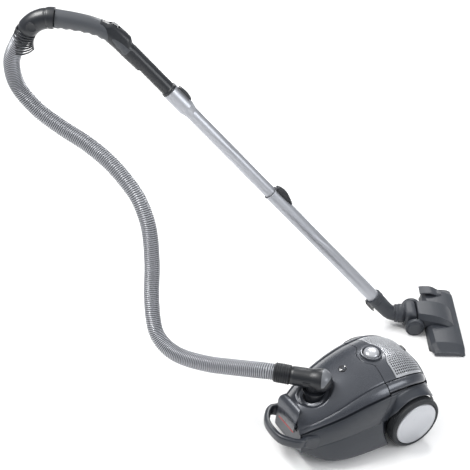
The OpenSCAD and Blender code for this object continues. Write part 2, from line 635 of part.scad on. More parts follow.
// ---------- Floor nozzle ----------
collar_mouth = 75;
elbow_r = 20.6;
clamp_seat = 19;
clamp_low = collar_mouth - 36;
duct_r = 14;
module nozzle_elbow() color(dark) at_nozzle() translate([bend_x, 0, neck_z]) difference() {
  union() {
    sphere(r = elbow_r, $fn = 64);
    rotate([0, 90, 0]) cylinder(r = 20, h = 13, $fn = 64);
    rotate([0, 90, 0]) cylinder(r = 17, h = 27, $fn = 64);
    rotate([0, wand_lean - 90, 0]) translate([0, 0, 4]) cylinder(r = 21, h = collar_mouth - 4, $fn = 64);
  }
  sphere(r = duct_r + 1, $fn = 64);
  rotate([0, 90, 0]) cylinder(r = duct_r, h = 40, $fn = 64);
  rotate([0, wand_lean - 90, 0]) cylinder(r = duct_r - 0.5, h = 40, $fn = 64);
  rotate([0, wand_lean - 90, 0]) translate([0, 0, 30.8]) cylinder(r = outer_d / 2 + 0.2, h = 60, $fn = 64);
  rotate([0, wand_lean - 90, 0]) translate([-clamp_seat - 10, -8.4, clamp_low - 0.4]) cube([10, 16.8, 40]);
}
module nozzle_clamp() color(black) at_wand() translate([-clamp_seat - 6.2, -8, clamp_low]) hull() {
  cube([4, 16, 32]);
  translate([-2.5, 2, 4]) cube([2, 12, 24]);
}
neck_x = bend_x + 13;
tilt_x = 37;
tilt_z = roller_r;
module neck() color(black) at_nozzle() {
  translate([neck_x + 0.4, 0, neck_z]) rotate([0, 90, 0]) rotate_extrude($fn = 72)
    polygon([[17 + run_gap, 0], [24.5, 0], [25.5, 3], [25.5, 22], [24.5, 25], [14, 25], [14, 15],
      [17 + run_gap, 15]]);
  difference() {
    translate([neck_x + 25.4, -26, 12]) cube([22, 52, 44]);
    translate([neck_x + 20, 0, neck_z]) rotate([0, 90, 0]) cylinder(r = 14, h = 40, $fn = 64);
  }
  translate([tilt_x, 0, tilt_z]) rotate([90, 0, 0]) cylinder(r = 5, h = 100, center = true, $fn = 32);
}
head_x0 = 66;
head_x1 = head_x0 + head_d;
module head_block(d) hull() {
  for (side = [-1, 1]) {
    translate([head_x0 + 8 + d, side * (head_w / 2 - 26 - d), 4]) cylinder(r = 6, h = 26 - d, $fn = 24);
    translate([head_x1 - 9 - d, side * (head_w / 2 - 9 - d), 4]) cylinder(r = 8, h = 12 - d, $fn = 24);
  }
  translate([head_x0 + 12 + d, -40 + d, 4]) cube([36 - d, 80 - 2 * d, 42 - d]);
}
module nozzle_head() color(dark) at_nozzle() {
  difference() {
    head_block(0);
    translate([0, 0, -1]) head_block(wall);
    translate([head_x0 - 10, 0, neck_z - 6]) rotate([0, 90, 0]) cylinder(r = 16, h = 40, $fn = 48);
    translate([head_x0 + 36, 84, 20]) cube([26, 34, 40]);
  }
  for (side = [-1, 1]) difference() {
    union() {
      translate([tilt_x, side * 32, tilt_z]) rotate([90, 0, 0]) cylinder(r = 10, h = 7, center = true, $fn = 48);
      translate([tilt_x, side * 32 - 3.5, tilt_z - 8]) cube([head_x0 - tilt_x + 14, 7, 16]);
    }
    translate([tilt_x, side * 32, tilt_z]) rotate([90, 0, 0])
      cylinder(r = 5 + run_gap, h = 9, center = true, $fn = 32);
  }
}
module sole_plate() color(black) at_nozzle() difference() {
  hull() for (side = [-1, 1]) {
    translate([head_x0 + 9, side * (head_w / 2 - 27), 0]) cylinder(r = 6, h = 3.8, $fn = 24);
    translate([head_x1 - 10, side * (head_w / 2 - 10), 0]) cylinder(r = 8, h = 3.8, $fn = 24);
  }
  translate([head_x0 + 40, -head_w / 2 + 30, -1]) cube([16, head_w - 60, 6]);
}
module nozzle_pedal() color(black) at_nozzle() translate([head_x0 + 38, 85, 22]) cube([22, 32, 16]);
module nozzle_wheels() color(black) at_nozzle() for (side = [-1, 1])
  translate([tilt_x, side * 37, roller_r]) rotate([side < 0 ? 90 : -90, 0, 0])
    rotate_extrude($fn = 72) polygon([[5 + run_gap, 0.4], [roller_r - 3, 0.4], [roller_r, 3], [roller_r, 12],
      [roller_r - 3, 15], [16, 15], [15, 16.5], [0, 16.5], [0, 13.5], [5 + run_gap, 13.5]]);

lower_housing();
side_panel(-1);  // side_panel_left
side_panel(1);  // side_panel_right
fender(-1);  // fender_left
fender(1);  // fender_right
wheel_arches();
front_plate();
rear_wall();
rear_deck();
carry_handle();
partition();
motor_housing();
motor_bearings();
motor_rotor();
motor_filter();
dust_bag();
cord_reel();
reel_spindle();
cable_outlet();
circuit_board();
exhaust_grille();
exhaust_filter();
knob_seat();
power_knob();
pedal(-1);  // power_pedal
pedal(1);  // rewind_pedal
rear_axles();
tyre(-1);  // tyre_left
tyre(1);  // tyre_right
hub(-1);  // hub_left
hub(1);  // hub_right
wheel_cap(-1);  // wheel_cap_left
wheel_cap(1);  // wheel_cap_right
caster_fork();
caster_roller();
lid();
hinge_pins();
lid_latch();
inlet_ring();
indicator_window();
connector();
connector_button();
hose_cuff();
hose();
hose_sleeve();
kink_guard();
grip();
grip_tube();
air_slider();
inner_tube();
bell_button();
outer_tube();
tube_catch();
nozzle_elbow();
nozzle_clamp();
neck();
nozzle_head();
sole_plate();
nozzle_pedal();
nozzle_wheels();
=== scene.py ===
"""Looks of a wheeled cylinder vacuum cleaner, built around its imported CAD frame. Blender 4.5.

The canister, nozzle, wand, barrel and sleeve frames below are the CAD's own, in millimetres.
Each visible shell repeats the CAD's section formulas with more points, edge rolls and detail.
"""
import json
import math
from math import cos, exp, pi, radians, sin, sqrt

import bmesh
import bpy
from mathutils import Matrix, Vector, noise


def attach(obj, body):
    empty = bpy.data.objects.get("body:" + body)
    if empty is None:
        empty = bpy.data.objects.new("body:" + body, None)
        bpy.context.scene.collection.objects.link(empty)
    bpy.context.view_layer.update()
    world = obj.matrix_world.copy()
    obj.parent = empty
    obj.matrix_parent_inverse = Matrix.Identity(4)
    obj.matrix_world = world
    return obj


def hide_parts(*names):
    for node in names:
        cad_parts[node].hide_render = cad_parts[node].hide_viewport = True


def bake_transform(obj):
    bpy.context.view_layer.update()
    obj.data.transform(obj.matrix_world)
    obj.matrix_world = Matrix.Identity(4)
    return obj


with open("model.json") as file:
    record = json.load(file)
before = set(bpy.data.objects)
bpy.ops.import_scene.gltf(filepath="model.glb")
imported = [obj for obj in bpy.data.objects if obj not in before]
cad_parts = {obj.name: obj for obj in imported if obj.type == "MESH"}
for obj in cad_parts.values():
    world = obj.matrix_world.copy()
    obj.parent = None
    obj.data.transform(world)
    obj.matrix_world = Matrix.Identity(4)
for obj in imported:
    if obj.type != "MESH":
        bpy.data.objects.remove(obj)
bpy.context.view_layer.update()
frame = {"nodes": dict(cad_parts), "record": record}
BODY_OF = {node: body for body, nodes in frame["record"]["behaviour"]["bodies"].items() for node in nodes}
SLOT_OF = {part["node"]: part["material_slot"] for part in frame["record"]["subparts"]}

# ---------- Frames, in millimetres ----------
MM = Matrix.Scale(0.001, 4)


def turn(angle, axis):
    return Matrix.Rotation(radians(angle), 4, axis)


def shift(x, y, z):
    return Matrix.Translation((x, y, z))


WAND_LEAN = 49.3
NECK_Z = 37
BEND_X = -26
CANISTER = MM @ shift(-52.8, -300.8, 0)
NOZZLE = MM @ shift(302.9, -60.5, 0) @ turn(-31, "Z")
WAND = NOZZLE @ shift(BEND_X, 0, NECK_Z) @ turn(WAND_LEAN - 90, "Y")
INLET_X = -83
BARREL = CANISTER @ shift(INLET_X, 0, 193) @ turn(135, "Z") @ turn(90, "Y")
SLEEVE = NOZZLE @ shift(-855, 0, 807) @ turn(90, "X")
SADDLE = NOZZLE @ shift(-731, 0, 843) @ turn(-56.3, "Y")

# ---------- Camera, lights and floor ----------
scene = bpy.context.scene


def add_camera():
    camera = bpy.data.objects.new("camera", bpy.data.cameras.new("camera"))
    scene.collection.objects.link(camera)
    azimuth = radians(330)
    elevation = radians(35)
    back = Vector((sin(azimuth) * cos(elevation), -cos(azimuth) * cos(elevation), sin(elevation)))
    right = Vector((cos(azimuth), sin(azimuth), 0))
    turned = Matrix((right, back.cross(right), back)).transposed().to_4x4()
    camera.matrix_world = Matrix.Translation((-1.1656, -1.7217, 1.8142)) @ turned
    camera.data.lens = 79.8
    camera.data.sensor_width = 36
    scene.camera = camera


def add_light(name, place, target, size, power, tint):
    data = bpy.data.lights.new(name, "AREA")
    data.shape = "RECTANGLE"
    data.size, data.size_y = size
    data.energy = power
    data.color = tint
    light = bpy.data.objects.new(name, data)
    light.location = place
    light.rotation_euler = (Vector(target) - Vector(place)).to_track_quat("-Z", "Y").to_euler()
    scene.collection.objects.link(light)


add_camera()
add_light("key", (-1.5, 1.0, 2.9), (0, 0, 0.2), (1.5, 1.0), 92, (1, 0.995, 0.98))
add_light("fill", (1.3, -2.6, 1.7), (0, 0, 0.2), (1.6, 1.0), 34, (0.96, 0.98, 1))
add_light("rim", (2.0, 1.7, 2.3), (0, 0, 0.3), (1.3, 0.8), 56, (1, 1, 1))
world = bpy.data.worlds.new("studio")
scene.world = world
world.use_nodes = True
sky = world.node_tree.nodes
way = sky.new("ShaderNodeTexCoord")
split = sky.new("ShaderNodeSeparateXYZ")
ramp = sky.new("ShaderNodeValToRGB")
ramp.color_ramp.elements[0].position = 0.0
ramp.color_ramp.elements[0].color = (0.80, 0.81, 0.83, 1)
ramp.color_ramp.elements[1].position = 0.85
ramp.color_ramp.elements[1].color = (1, 1, 1, 1)
MIDDLE_SKY = (
    (0.12, (0.50, 0.51, 0.53, 1)),
    (0.28, (0.20, 0.21, 0.225, 1)),
    (0.5, (0.34, 0.35, 0.37, 1)),
)
for height, colour in MIDDLE_SKY:
    ramp.color_ramp.elements.new(height).color = colour
world.node_tree.links.new(way.outputs["Generated"], split.inputs["Vector"])
world.node_tree.links.new(split.outputs["Z"], ramp.inputs["Fac"])
world.node_tree.links.new(ramp.outputs["Color"], sky["Background"].inputs["Color"])
sky["Background"].inputs["Strength"].default_value = 1.0
scene.view_settings.view_transform = "Standard"


# ---------- Materials ----------
def finish(name, colour, rough, metallic=0.0, grain=0.12, grain_size=0.9, vary=0.06, coat=0.0,
           aniso=0.0, streak=None, edge=0.0, sheen=0.0, attribute=None):
    """A moulded, painted, metal or woven surface: colour variation, uneven gloss, a fine grain and, where an
    attribute is given, painted shade.
    """
    material = bpy.data.materials.new(name)
    material.use_nodes = True
    nodes = material.node_tree.nodes
    link = material.node_tree.links.new
    shader = nodes["Principled BSDF"]
    shader.inputs["Metallic"].default_value = metallic
    shader.inputs["Coat Weight"].default_value = coat
    shader.inputs["Coat Roughness"].default_value = 0.12
    shader.inputs["Anisotropic"].default_value = aniso
    shader.inputs["Sheen Weight"].default_value = sheen
    place = nodes.new("ShaderNodeTexCoord")
    mapping = nodes.new("ShaderNodeMapping")
    if streak:
        mapping.inputs["Rotation"].default_value = streak[0]
        mapping.inputs["Scale"].default_value = streak[1]
    link(place.outputs["Object"], mapping.inputs["Vector"])
    broad = nodes.new("ShaderNodeTexNoise")
    broad.inputs["Scale"].default_value = 14
    broad.inputs["Detail"].default_value = 4
    link(place.outputs["Object"], broad.inputs["Vector"])
    tint = nodes.new("ShaderNodeMix")
    tint.data_type = "RGBA"
    tint.inputs["A"].default_value = (*[c * (1 - vary) for c in colour], 1)
    tint.inputs["B"].default_value = (*[min(1, c * (1 + vary)) for c in colour], 1)
    link(broad.outputs["Fac"], tint.inputs["Factor"])
    last = tint.outputs["Result"]
    if edge:
        geometry = nodes.new("ShaderNodeNewGeometry")
        worn = nodes.new("ShaderNodeMapRange")
        worn.inputs["From Min"].default_value = 0.54
        worn.inputs["From Max"].default_value = 0.64
        worn.inputs["To Max"].default_value = edge
        link(geometry.outputs["Pointiness"], worn.inputs["Value"])
        rubbed = nodes.new("ShaderNodeMix")
        rubbed.data_type = "RGBA"
        rubbed.inputs["B"].default_value = (*[min(1, c * 2 + 0.05) for c in colour], 1)
        link(last, rubbed.inputs["A"])
        link(worn.outputs["Result"], rubbed.inputs["Factor"])
        last = rubbed.outputs["Result"]
    # Painted shade: where the mesh attribute is low, as in the hose's grooves, the colour is mixed towards a
    # dark one.
    if attribute:
        mark = nodes.new("ShaderNodeAttribute")
        mark.attribute_name = attribute[0]
        groove = nodes.new("ShaderNodeMix")
        groove.data_type = "RGBA"
        groove.inputs["A"].default_value = (*attribute[1], 1)
        link(mark.outputs["Fac"], groove.inputs["Factor"])
        link(last, groove.inputs["B"])
        last = groove.outputs["Result"]
    link(last, shader.inputs["Base Color"])
    fine = nodes.new("ShaderNodeTexNoise")
    fine.inputs["Scale"].default_value = 1000 / grain_size
    fine.inputs["Detail"].default_value = 3
    link(mapping.outputs["Vector"], fine.inputs["Vector"])
    gloss = nodes.new("ShaderNodeMapRange")
    gloss.inputs["To Min"].default_value = max(0.03, rough - 0.06)
    gloss.inputs["To Max"].default_value = min(1, rough + 0.08)
    both = nodes.new("ShaderNodeMath")
    both.operation = "MULTIPLY_ADD"
    both.inputs[1].default_value = 0.5
    link(fine.outputs["Fac"], both.inputs[0])
    half = nodes.new("ShaderNodeMath")
    half.operation = "MULTIPLY"
    half.inputs[1].default_value = 0.5
    link(broad.outputs["Fac"], half.inputs[0])
    link(half.outputs["Value"], both.inputs[2])
    link(both.outputs["Value"], gloss.inputs["Value"])
    link(gloss.outputs["Result"], shader.inputs["Roughness"])
    bump = nodes.new("ShaderNodeBump")
    bump.inputs["Strength"].default_value = grain
    bump.inputs["Distance"].default_value = 0.0003
    link(fine.outputs["Fac"], bump.inputs["Height"])
    link(bump.outputs["Normal"], shader.inputs["Normal"])
    return material


ALONG_WAND = ((0, radians(90 - WAND_LEAN), radians(31)), (1, 1, 0.03))
MATERIALS = {
    "graphite_shell": finish("graphite_shell", (0.022, 0.026, 0.034), 0.33, grain=0.14, coat=0.06, edge=0.3),
    "graphite_lid": finish("graphite_lid", (0.055, 0.060, 0.072), 0.27, metallic=0.35, grain=0.06,
                           grain_size=0.5, coat=0.25, edge=0.3),
    "black_plastic": finish("black_plastic", (0.0075, 0.009, 0.012), 0.38, grain=0.2),
    "silver_plastic": finish("silver_plastic", (0.43, 0.44, 0.465), 0.28, metallic=0.45, grain=0.04,
                             grain_size=0.4, vary=0.03, coat=0.3),
    "window": finish("window", (0.015, 0.016, 0.02), 0.08, grain=0.0, coat=0.6),
    "tyre_rubber": finish("tyre_rubber", (0.010, 0.012, 0.015), 0.62, grain=0.35, grain_size=1.4, vary=0.2),
    "hub_plastic": finish("hub_plastic", (0.12, 0.12, 0.13), 0.45, grain=0.2),
    "steel": finish("steel", (0.6, 0.6, 0.61), 0.28, metallic=1, grain=0.06, aniso=0.4),
    "paper_bag": finish("paper_bag", (0.80, 0.77, 0.70), 0.9, grain=0.6, grain_size=1.6, sheen=0.3, vary=0.1),
    "filter": finish("filter", (0.30, 0.31, 0.32), 0.92, grain=0.8, grain_size=2.2, sheen=0.3, vary=0.15),
    "board": finish("board", (0.03, 0.16, 0.07), 0.35, grain=0.2, coat=0.2),
    # The hose's grooves get painted shade through a mesh attribute: near black in the grooves, its own grey
    # on the crests.
    "hose_grey": finish("hose_grey", (0.37, 0.38, 0.41), 0.30, metallic=0.35, grain=0.05, coat=0.2,
                        attribute=("unshaded_share", (0.010, 0.011, 0.013))),
    "grip_grey": finish("grip_grey", (0.060, 0.065, 0.074), 0.38, grain=0.2, grain_size=1.2, coat=0.05),
    "handle_black": finish("handle_black", (0.011, 0.013, 0.017), 0.36, grain=0.16, coat=0.08, edge=0.25),
    "tube_metal": finish("tube_metal", (0.41, 0.42, 0.45), 0.38, metallic=0.72, grain=0.05, aniso=0.5,
                         vary=0.03, streak=ALONG_WAND),
    "nozzle_grey": finish("nozzle_grey", (0.026, 0.030, 0.038), 0.5, grain=0.18, edge=0.35),
    "sole": finish("sole", (0.03, 0.03, 0.034), 0.33, grain=0.1),
}
RED_LINE = finish("red_line", (0.5, 0.03, 0.02), 0.35, grain=0.05)
PALE_GREY = finish("pale_grey", (0.13, 0.137, 0.15), 0.36, metallic=0.2, grain=0.06, coat=0.15)
FLOOR = finish("floor", (0.96, 0.96, 0.96), 0.75, grain=0.02, grain_size=3, vary=0.01)

for node, thing in frame["nodes"].items():
    for slot in thing.material_slots:
        slot.material = MATERIALS[SLOT_OF[node]]


# ---------- Mesh helpers ----------
def piece(name, points, faces, place, material, nodes, roll=0.0, sharp=38, body=None, slot=None,
          rides=True):
    """Makes one piece from points in millimetres; it stands for the CAD nodes, or rides on a body."""
    mesh = bpy.data.meshes.new(name)
    mesh.from_pydata([place @ Vector(p) for p in points], [], faces)
    work = bmesh.new()
    work.from_mesh(mesh)
    bmesh.ops.remove_doubles(work, verts=work.verts, dist=2e-6)
    bmesh.ops.recalc_face_normals(work, faces=work.faces)
    work.to_mesh(mesh)
    work.free()
    mesh.shade_smooth()
    mesh.set_sharp_from_angle(angle=radians(sharp))
    mesh.materials.append(material)
    thing = bpy.data.objects.new(name, mesh)
    scene.collection.objects.link(thing)
    if roll:
        rolled = thing.modifiers.new("roll", "BEVEL")
        rolled.width = roll * 0.001
        rolled.segments = 3
        rolled.limit_method = "ANGLE"
        rolled.angle_limit = radians(sharp)
    if nodes:
        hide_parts(*nodes)
    if rides:
        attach(thing, body or BODY_OF[nodes[0]])
    return thing


def panel_data(outer, inner, keep=lambda i, j: True):
    """Points and faces of a closed shell between two grids; cells that keep() refuses are holes."""
    nu, nv = len(outer), len(outer[0])
    points = [p for row in outer for p in row] + [p for row in inner for p in row]
    low = nu * nv
    kept = {(i, j) for i in range(nu - 1) for j in range(nv - 1) if keep(i, j)}
    faces = []
    for i, j in kept:
        a, b, c, d = i * nv + j, i * nv + j + 1, (i + 1) * nv + j + 1, (i + 1) * nv + j
        faces.append((a, b, c, d))
        faces.append((low + d, low + c, low + b, low + a))
        for near, p, q in (((i, j - 1), a, d), ((i, j + 1), c, b), ((i - 1, j), b, a), ((i + 1, j), d, c)):
            if near not in kept:
                faces.append((p, q, low + q, low + p))
    return points, faces


def join_data(*parts):
    points, faces = [], []
    for part_points, part_faces in parts:
        start = len(points)
        points += list(part_points)
        faces += [tuple(v + start for v in f) for f in part_faces]
    return points, faces


def loft_data(rings, closed=False):
    """Points and faces of a body through closed rings of points; open ends are capped."""
    n = len(rings[0])
    points = [p for ring in rings for p in ring]
    faces = []
    last = len(rings) if closed else len(rings) - 1
    for i in range(last):
        a, b = i * n, (i + 1) % len(rings) * n
        faces += [(a + k, a + (k + 1) % n, b + (k + 1) % n, b + k) for k in range(n)]
    if not closed:
        faces.append(tuple(range(n)))
        faces.append(tuple(range((len(rings) - 1) * n, len(rings) * n))[::-1])
    return points, faces


def lathe_data(profile, sides=128):
    """A closed profile of (radius, height) turned about z."""
    rings = [[(r * cos(2 * pi * k / sides), r * sin(2 * pi * k / sides), z) for r, z in profile]
             for k in range(sides)]
    return loft_data(rings, closed=True)


def placed(data, place):
    return [place @ Vector(p) for p in data[0]], data[1]


def fair(points, steps):
    """The CAD's smooth curve through given points."""
    points = [Vector(p) for p in points]
    out = []
    for i in range(len(points) - 1):
        a, b, c = points[max(i - 1, 0)], points[i], points[i + 1]
        d = points[min(i + 2, len(points) - 1)]
        for k in range(steps):
            u = k / steps
            out.append(0.5 * (2 * b + (c - a) * u + (2 * a - 5 * b + 4 * c - d) * u * u
                              + (3 * b - a - 3 * c + d) * u ** 3))
    return out + [points[-1]]


def even(points, step):
    """The same curve with points at even distances."""
    out = [points[0]]
    left = step
    for a, b in zip(points, points[1:]):
        length = (b - a).length
        at = left
        while at <= length:
            out.append(a.lerp(b, at / length))
            at += step
        left = at - length
    return out + [points[-1]] if (out[-1] - points[-1]).length > step * 0.3 else out


def frames_along(path, first):
    """Tangent, normal and side at every point, carried along without twist."""
    normal = Vector(first)
    out = []
    for i, p in enumerate(path):
        t = (path[min(i + 1, len(path) - 1)] - path[max(i - 1, 0)]).normalized()
        normal = (normal - normal.dot(t) * t).normalized()
        out.append((p, t, normal, t.cross(normal)))
    return out


def sweep_data(path, first, radius, sides=48):
    """A body along a path; radius(i, share, angle) gives (along the normal, along the side)."""
    rings = []
    count = len(path) - 1
    for i, (p, t, n, c) in enumerate(frames_along(path, first)):
        ring = []
        for k in range(sides):
            a = 2 * pi * k / sides
            up, out = radius(i, i / count, a)
            ring.append(p + n * up + c * out)
        rings.append(ring)
    return loft_data(rings)


def mix(a, b, t):
    return a + (b - a) * t


def power(v, p):
    """v raised to the power p with its sign kept; it squares off a round section."""
    return math.copysign(abs(v) ** p, v)


def angles_round(count, start=0.0):
    return [2 * pi * (k + start) / count for k in range(count)]


def clamp(v, low, high):
    return max(low, min(high, v))


def ease(t):
    t = clamp(t, 0, 1)
    return t * t * (3 - 2 * t)


def bump(v, centre, width):
    return exp(-((v - centre) / width) ** 2)


# ---------- The hose ----------
HOSE_D = 39
RIB_PITCH = 5
RIB_STEPS = 6
FRAME_SHIFT = Vector((-52.8, -274.8, 0))
HOSE_ROUTE = [
    (-139, 30, 193), (-151, 42, 193), (-166, 58, 191), (-188, 87, 183), (-212, 122, 172),
    (-247, 172, 158), (-281, 233, 146), (-301, 280, 148), (-311, 318, 168), (-309, 342, 204),
    (-300, 363, 258), (-286, 381, 329), (-278, 401, 402), (-279, 422, 450), (-288, 455, 495),
    (-312, 517, 543), (-344, 580, 577), (-382, 638, 604), (-421, 690, 641), (-451, 721, 696),
    (-460, 715, 762), (-444, 697, 814), (-427, 684, 843), (-422, 682, 851), (-415, 677, 859),
]


def make_hose():
    path = even(fair([Vector(p) + FRAME_SHIFT for p in HOSE_ROUTE], 24), RIB_PITCH / RIB_STEPS)
    sides = 40
    unshaded_share = []
    rings = []
    for i, (p, t, n, c) in enumerate(frames_along(path, (0, 0, 1))):
        ring = []
        for k in range(sides):
            a = 2 * pi * k / sides
            wave = 0.5 + 0.5 * cos(2 * pi * (i / RIB_STEPS + k / sides))
            r = HOSE_D / 2 - 1.9 * (1 - wave) ** 1.5
            ring.append(p + (n * cos(a) + c * sin(a)) * r)
            # The share of the hose's own colour at each point: 1 on the crests and low in the grooves, where
            # the material paints shade.
            unshaded_share.append(wave ** 0.7)
        rings.append(ring)
    points, faces = loft_data(rings)
    hose = piece("hose_ribbed", points, faces, MM, MATERIALS["hose_grey"], ["hose"], sharp=75,
                 rides=False)
    mark = hose.data.attributes.new("unshaded_share", "FLOAT", "POINT")
    mark.data.foreach_set("value", unshaded_share[:len(hose.data.vertices)])
    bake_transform(hose)


make_hose()

# ---------- The canister's own surfaces ----------
BODY_L, BODY_W, BODY_H = 336, 216, 202
WALL = 3
SEAM = 0.6
FRONT_X = -148
REAR_X = FRONT_X + BODY_L
STATION = (0, 0.11, 0.26, 0.44, 0.62, 0.80, 0.93, 1)
RAIL_SHARE = (0.46, 0.62, 0.77, 0.86, 0.91, 0.92, 0.84, 0.68)
SEAM_SHARE = (0.52, 0.74, 0.90, 0.98, 1, 0.99, 0.88, 0.70)
RAIL_HEIGHT = (0.46, 0.545, 0.64, 0.73, 0.775, 0.76, 0.68, 0.58)
SEAM_HEIGHT = (0.22, 0.32, 0.39, 0.425, 0.45, 0.48, 0.50, 0.50)
CROWN_HEIGHT = (0.67, 0.74, 0.855, 0.955, 1, 0.975, 0.88, 0.74)
BASE_HEIGHT = (28, 7, 0, 0, 0, 0, 6, 18)
TUB_LOW = 10


def curve(values, x):
    t = clamp((x - FRONT_X) / BODY_L, 0, 1)
    i = 0
    while i < len(STATION) - 2 and t >= STATION[i + 1]:
        i += 1

    def slope(k):
        a, b = max(k - 1, 0), min(k + 1, len(values) - 1)
        return (values[b] - values[a]) / (STATION[b] - STATION[a])
    step = STATION[i + 1] - STATION[i]
    u = (t - STATION[i]) / step
    return ((2 * u ** 3 - 3 * u * u + 1) * values[i] + (u ** 3 - 2 * u * u + u) * step * slope(i)
            + (3 * u * u - 2 * u ** 3) * values[i + 1] + (u ** 3 - u * u) * step * slope(i + 1))


def rail_y(x):
    return BODY_W / 2 * curve(RAIL_SHARE, x)


def rail_z(x):
    return BODY_H * curve(RAIL_HEIGHT, x)


def seam_y(x):
    return BODY_W / 2 * curve(SEAM_SHARE, x)


def seam_z(x):
    return BODY_H * curve(SEAM_HEIGHT, x)


def crown_z(x):
    return BODY_H * curve(CROWN_HEIGHT, x)


def base_z(x):
    return TUB_LOW + curve(BASE_HEIGHT, x)


WHEEL_X = REAR_X - 71
WHEEL_R = 67
WHEEL_INNER_Y = 106
ARCH_R = WHEEL_R + 5
WAIST_Y = WHEEL_INNER_Y - 7
WAIST_RUN = 14
WAIST_START = WHEEL_X - ARCH_R - WAIST_RUN
TUB_FLARE = 0.28
HINGE_X = REAR_X - 128
KNOB_X = REAR_X - 115
SEAT_R = 26
GRILLE_X0 = KNOB_X + SEAT_R + 1
GRILLE_X1 = REAR_X - 9
GRILLE_W = 0.78
WINDOW_X = -7
CASTER_X = -92


def tub_y(x):
    return mix(seam_y(x), min(seam_y(x), WAIST_Y), ease((x - WAIST_START - 5) / (WAIST_RUN - 5)))


def top_point(x, w, d, lift=0.0):
    rise = crown_z(x) - rail_z(x) - d
    return (x, w * (rail_y(x) - d), rail_z(x) + rise * (1 - abs(w) ** 2.6) + lift)


def side_point(x, v, d, side):
    return (x, side * (mix(seam_y(x), rail_y(x), v) + 4 * sin(pi * v) - d),
            mix(seam_z(x) + SEAM, rail_z(x) - SEAM, v))


def tub_point(x, a, d):
    a = radians(a)
    down = abs(cos(a)) ** 0.4
    flare = TUB_FLARE * ease((x - FRONT_X) / 60) * (1 - ease((x - WAIST_START - 5) / (WAIST_RUN - 5)))
    return (x, (tub_y(x) - d) * power(sin(a), 0.4) * (1 + flare * down),
            seam_z(x) - (seam_z(x) - base_z(x) - d) * down)


def lid_end(w):
    return HINGE_X - 3 - 19 * exp(-(w * rail_y(HINGE_X) / 27) ** 4)


RIDGE_H = 5.5


def ridge_w(x):
    """Where the rail starts across the lid; it narrows towards the front."""
    return mix(0.90, 0.80, ease((x - FRONT_X) / 190))


def rail_rise(u):
    """Height of the rounded rail at a share u of its width."""
    return RIDGE_H * sin(pi * clamp(0.03 + 0.8 * u, 0, 1)) ** 0.5 if u > 0 else 0


def ridge(x, w):
    """The rounded rail along the lid's edge, with a groove on its inner side."""
    inner = ridge_w(x)
    u = (abs(w) - inner) / (1 - inner)
    return rail_rise(u) - 3.2 * bump(abs(w), inner - 0.014, 0.017)


def lid_lift(x, w):
    away = sqrt((x - INLET_X) ** 2 + (w * rail_y(x)) ** 2)
    dish = -10 * ease((44 - away) / 12)
    return dish + ridge(x, w) * ease((x - FRONT_X + 4) / 30)


def make_lid():
    across = [mix(k / 76, sin(pi / 2 * k / 76), 0.6) for k in range(-76, 77)]
    rows = 110

    def grid(d):
        out = []
        for t in (0, 0.3, 0.6, 0.85, 0.96):
            row = []
            for w in across:
                top = top_point(FRONT_X, w, d)
                x = FRONT_X - WALL + d + 2.2 * (t ** 4)
                row.append((x, top[1], mix(rail_z(FRONT_X) + 0.3, top[2], t)))
            out.append(row)
        for i in range(rows + 1):
            row = []
            for w in across:
                x = mix(FRONT_X, lid_end(w), i / rows)
                row.append(top_point(x, w, d, lid_lift(x, w)))
            out.append(row)
        return out

    outer = grid(0)

    def keep(i, j):
        x, y, _ = outer[i][j]
        return (x + 1.6 - INLET_X) ** 2 + (y + 1) ** 2 > 25.5 ** 2
    piece("lid_shell", *panel_data(outer, grid(WALL), keep), CANISTER, MATERIALS["graphite_lid"], ["lid"],
          roll=1.0, sharp=50)


def make_rear_deck():
    across = [k / 60 for k in range(-60, 61)]

    def deck(d):
        return [[top_point(mix(lid_end(w * GRILLE_W) + 1.5, grille_start(w * GRILLE_W) - 0.6, i / 24),
                           w * GRILLE_W, d) for w in across] for i in range(25)]

    def strip(d):
        return [[top_point(mix(GRILLE_X1 + SEAM, REAR_X + (i == 8), i / 8), w * GRILLE_W, d)
                 for w in across] for i in range(9)]
    outer = deck(0)

    def keep(i, j):
        x, y, _ = outer[i][j]
        return (x - KNOB_X) ** 2 + y ** 2 > 24 ** 2
    deck_data = panel_data(outer, deck(WALL), keep)
    piece("rear_deck_shell", *join_data(deck_data, panel_data(strip(0), strip(WALL))), CANISTER,
          MATERIALS["graphite_lid"], ["rear_deck"], roll=0.9, sharp=50)


def grille_start(w):
    """The grille's front edge, drawn forward on both sides of the knob's seat."""
    return GRILLE_X0 - 11 * (1 - exp(-(w * rail_y(KNOB_X) / 30) ** 4))


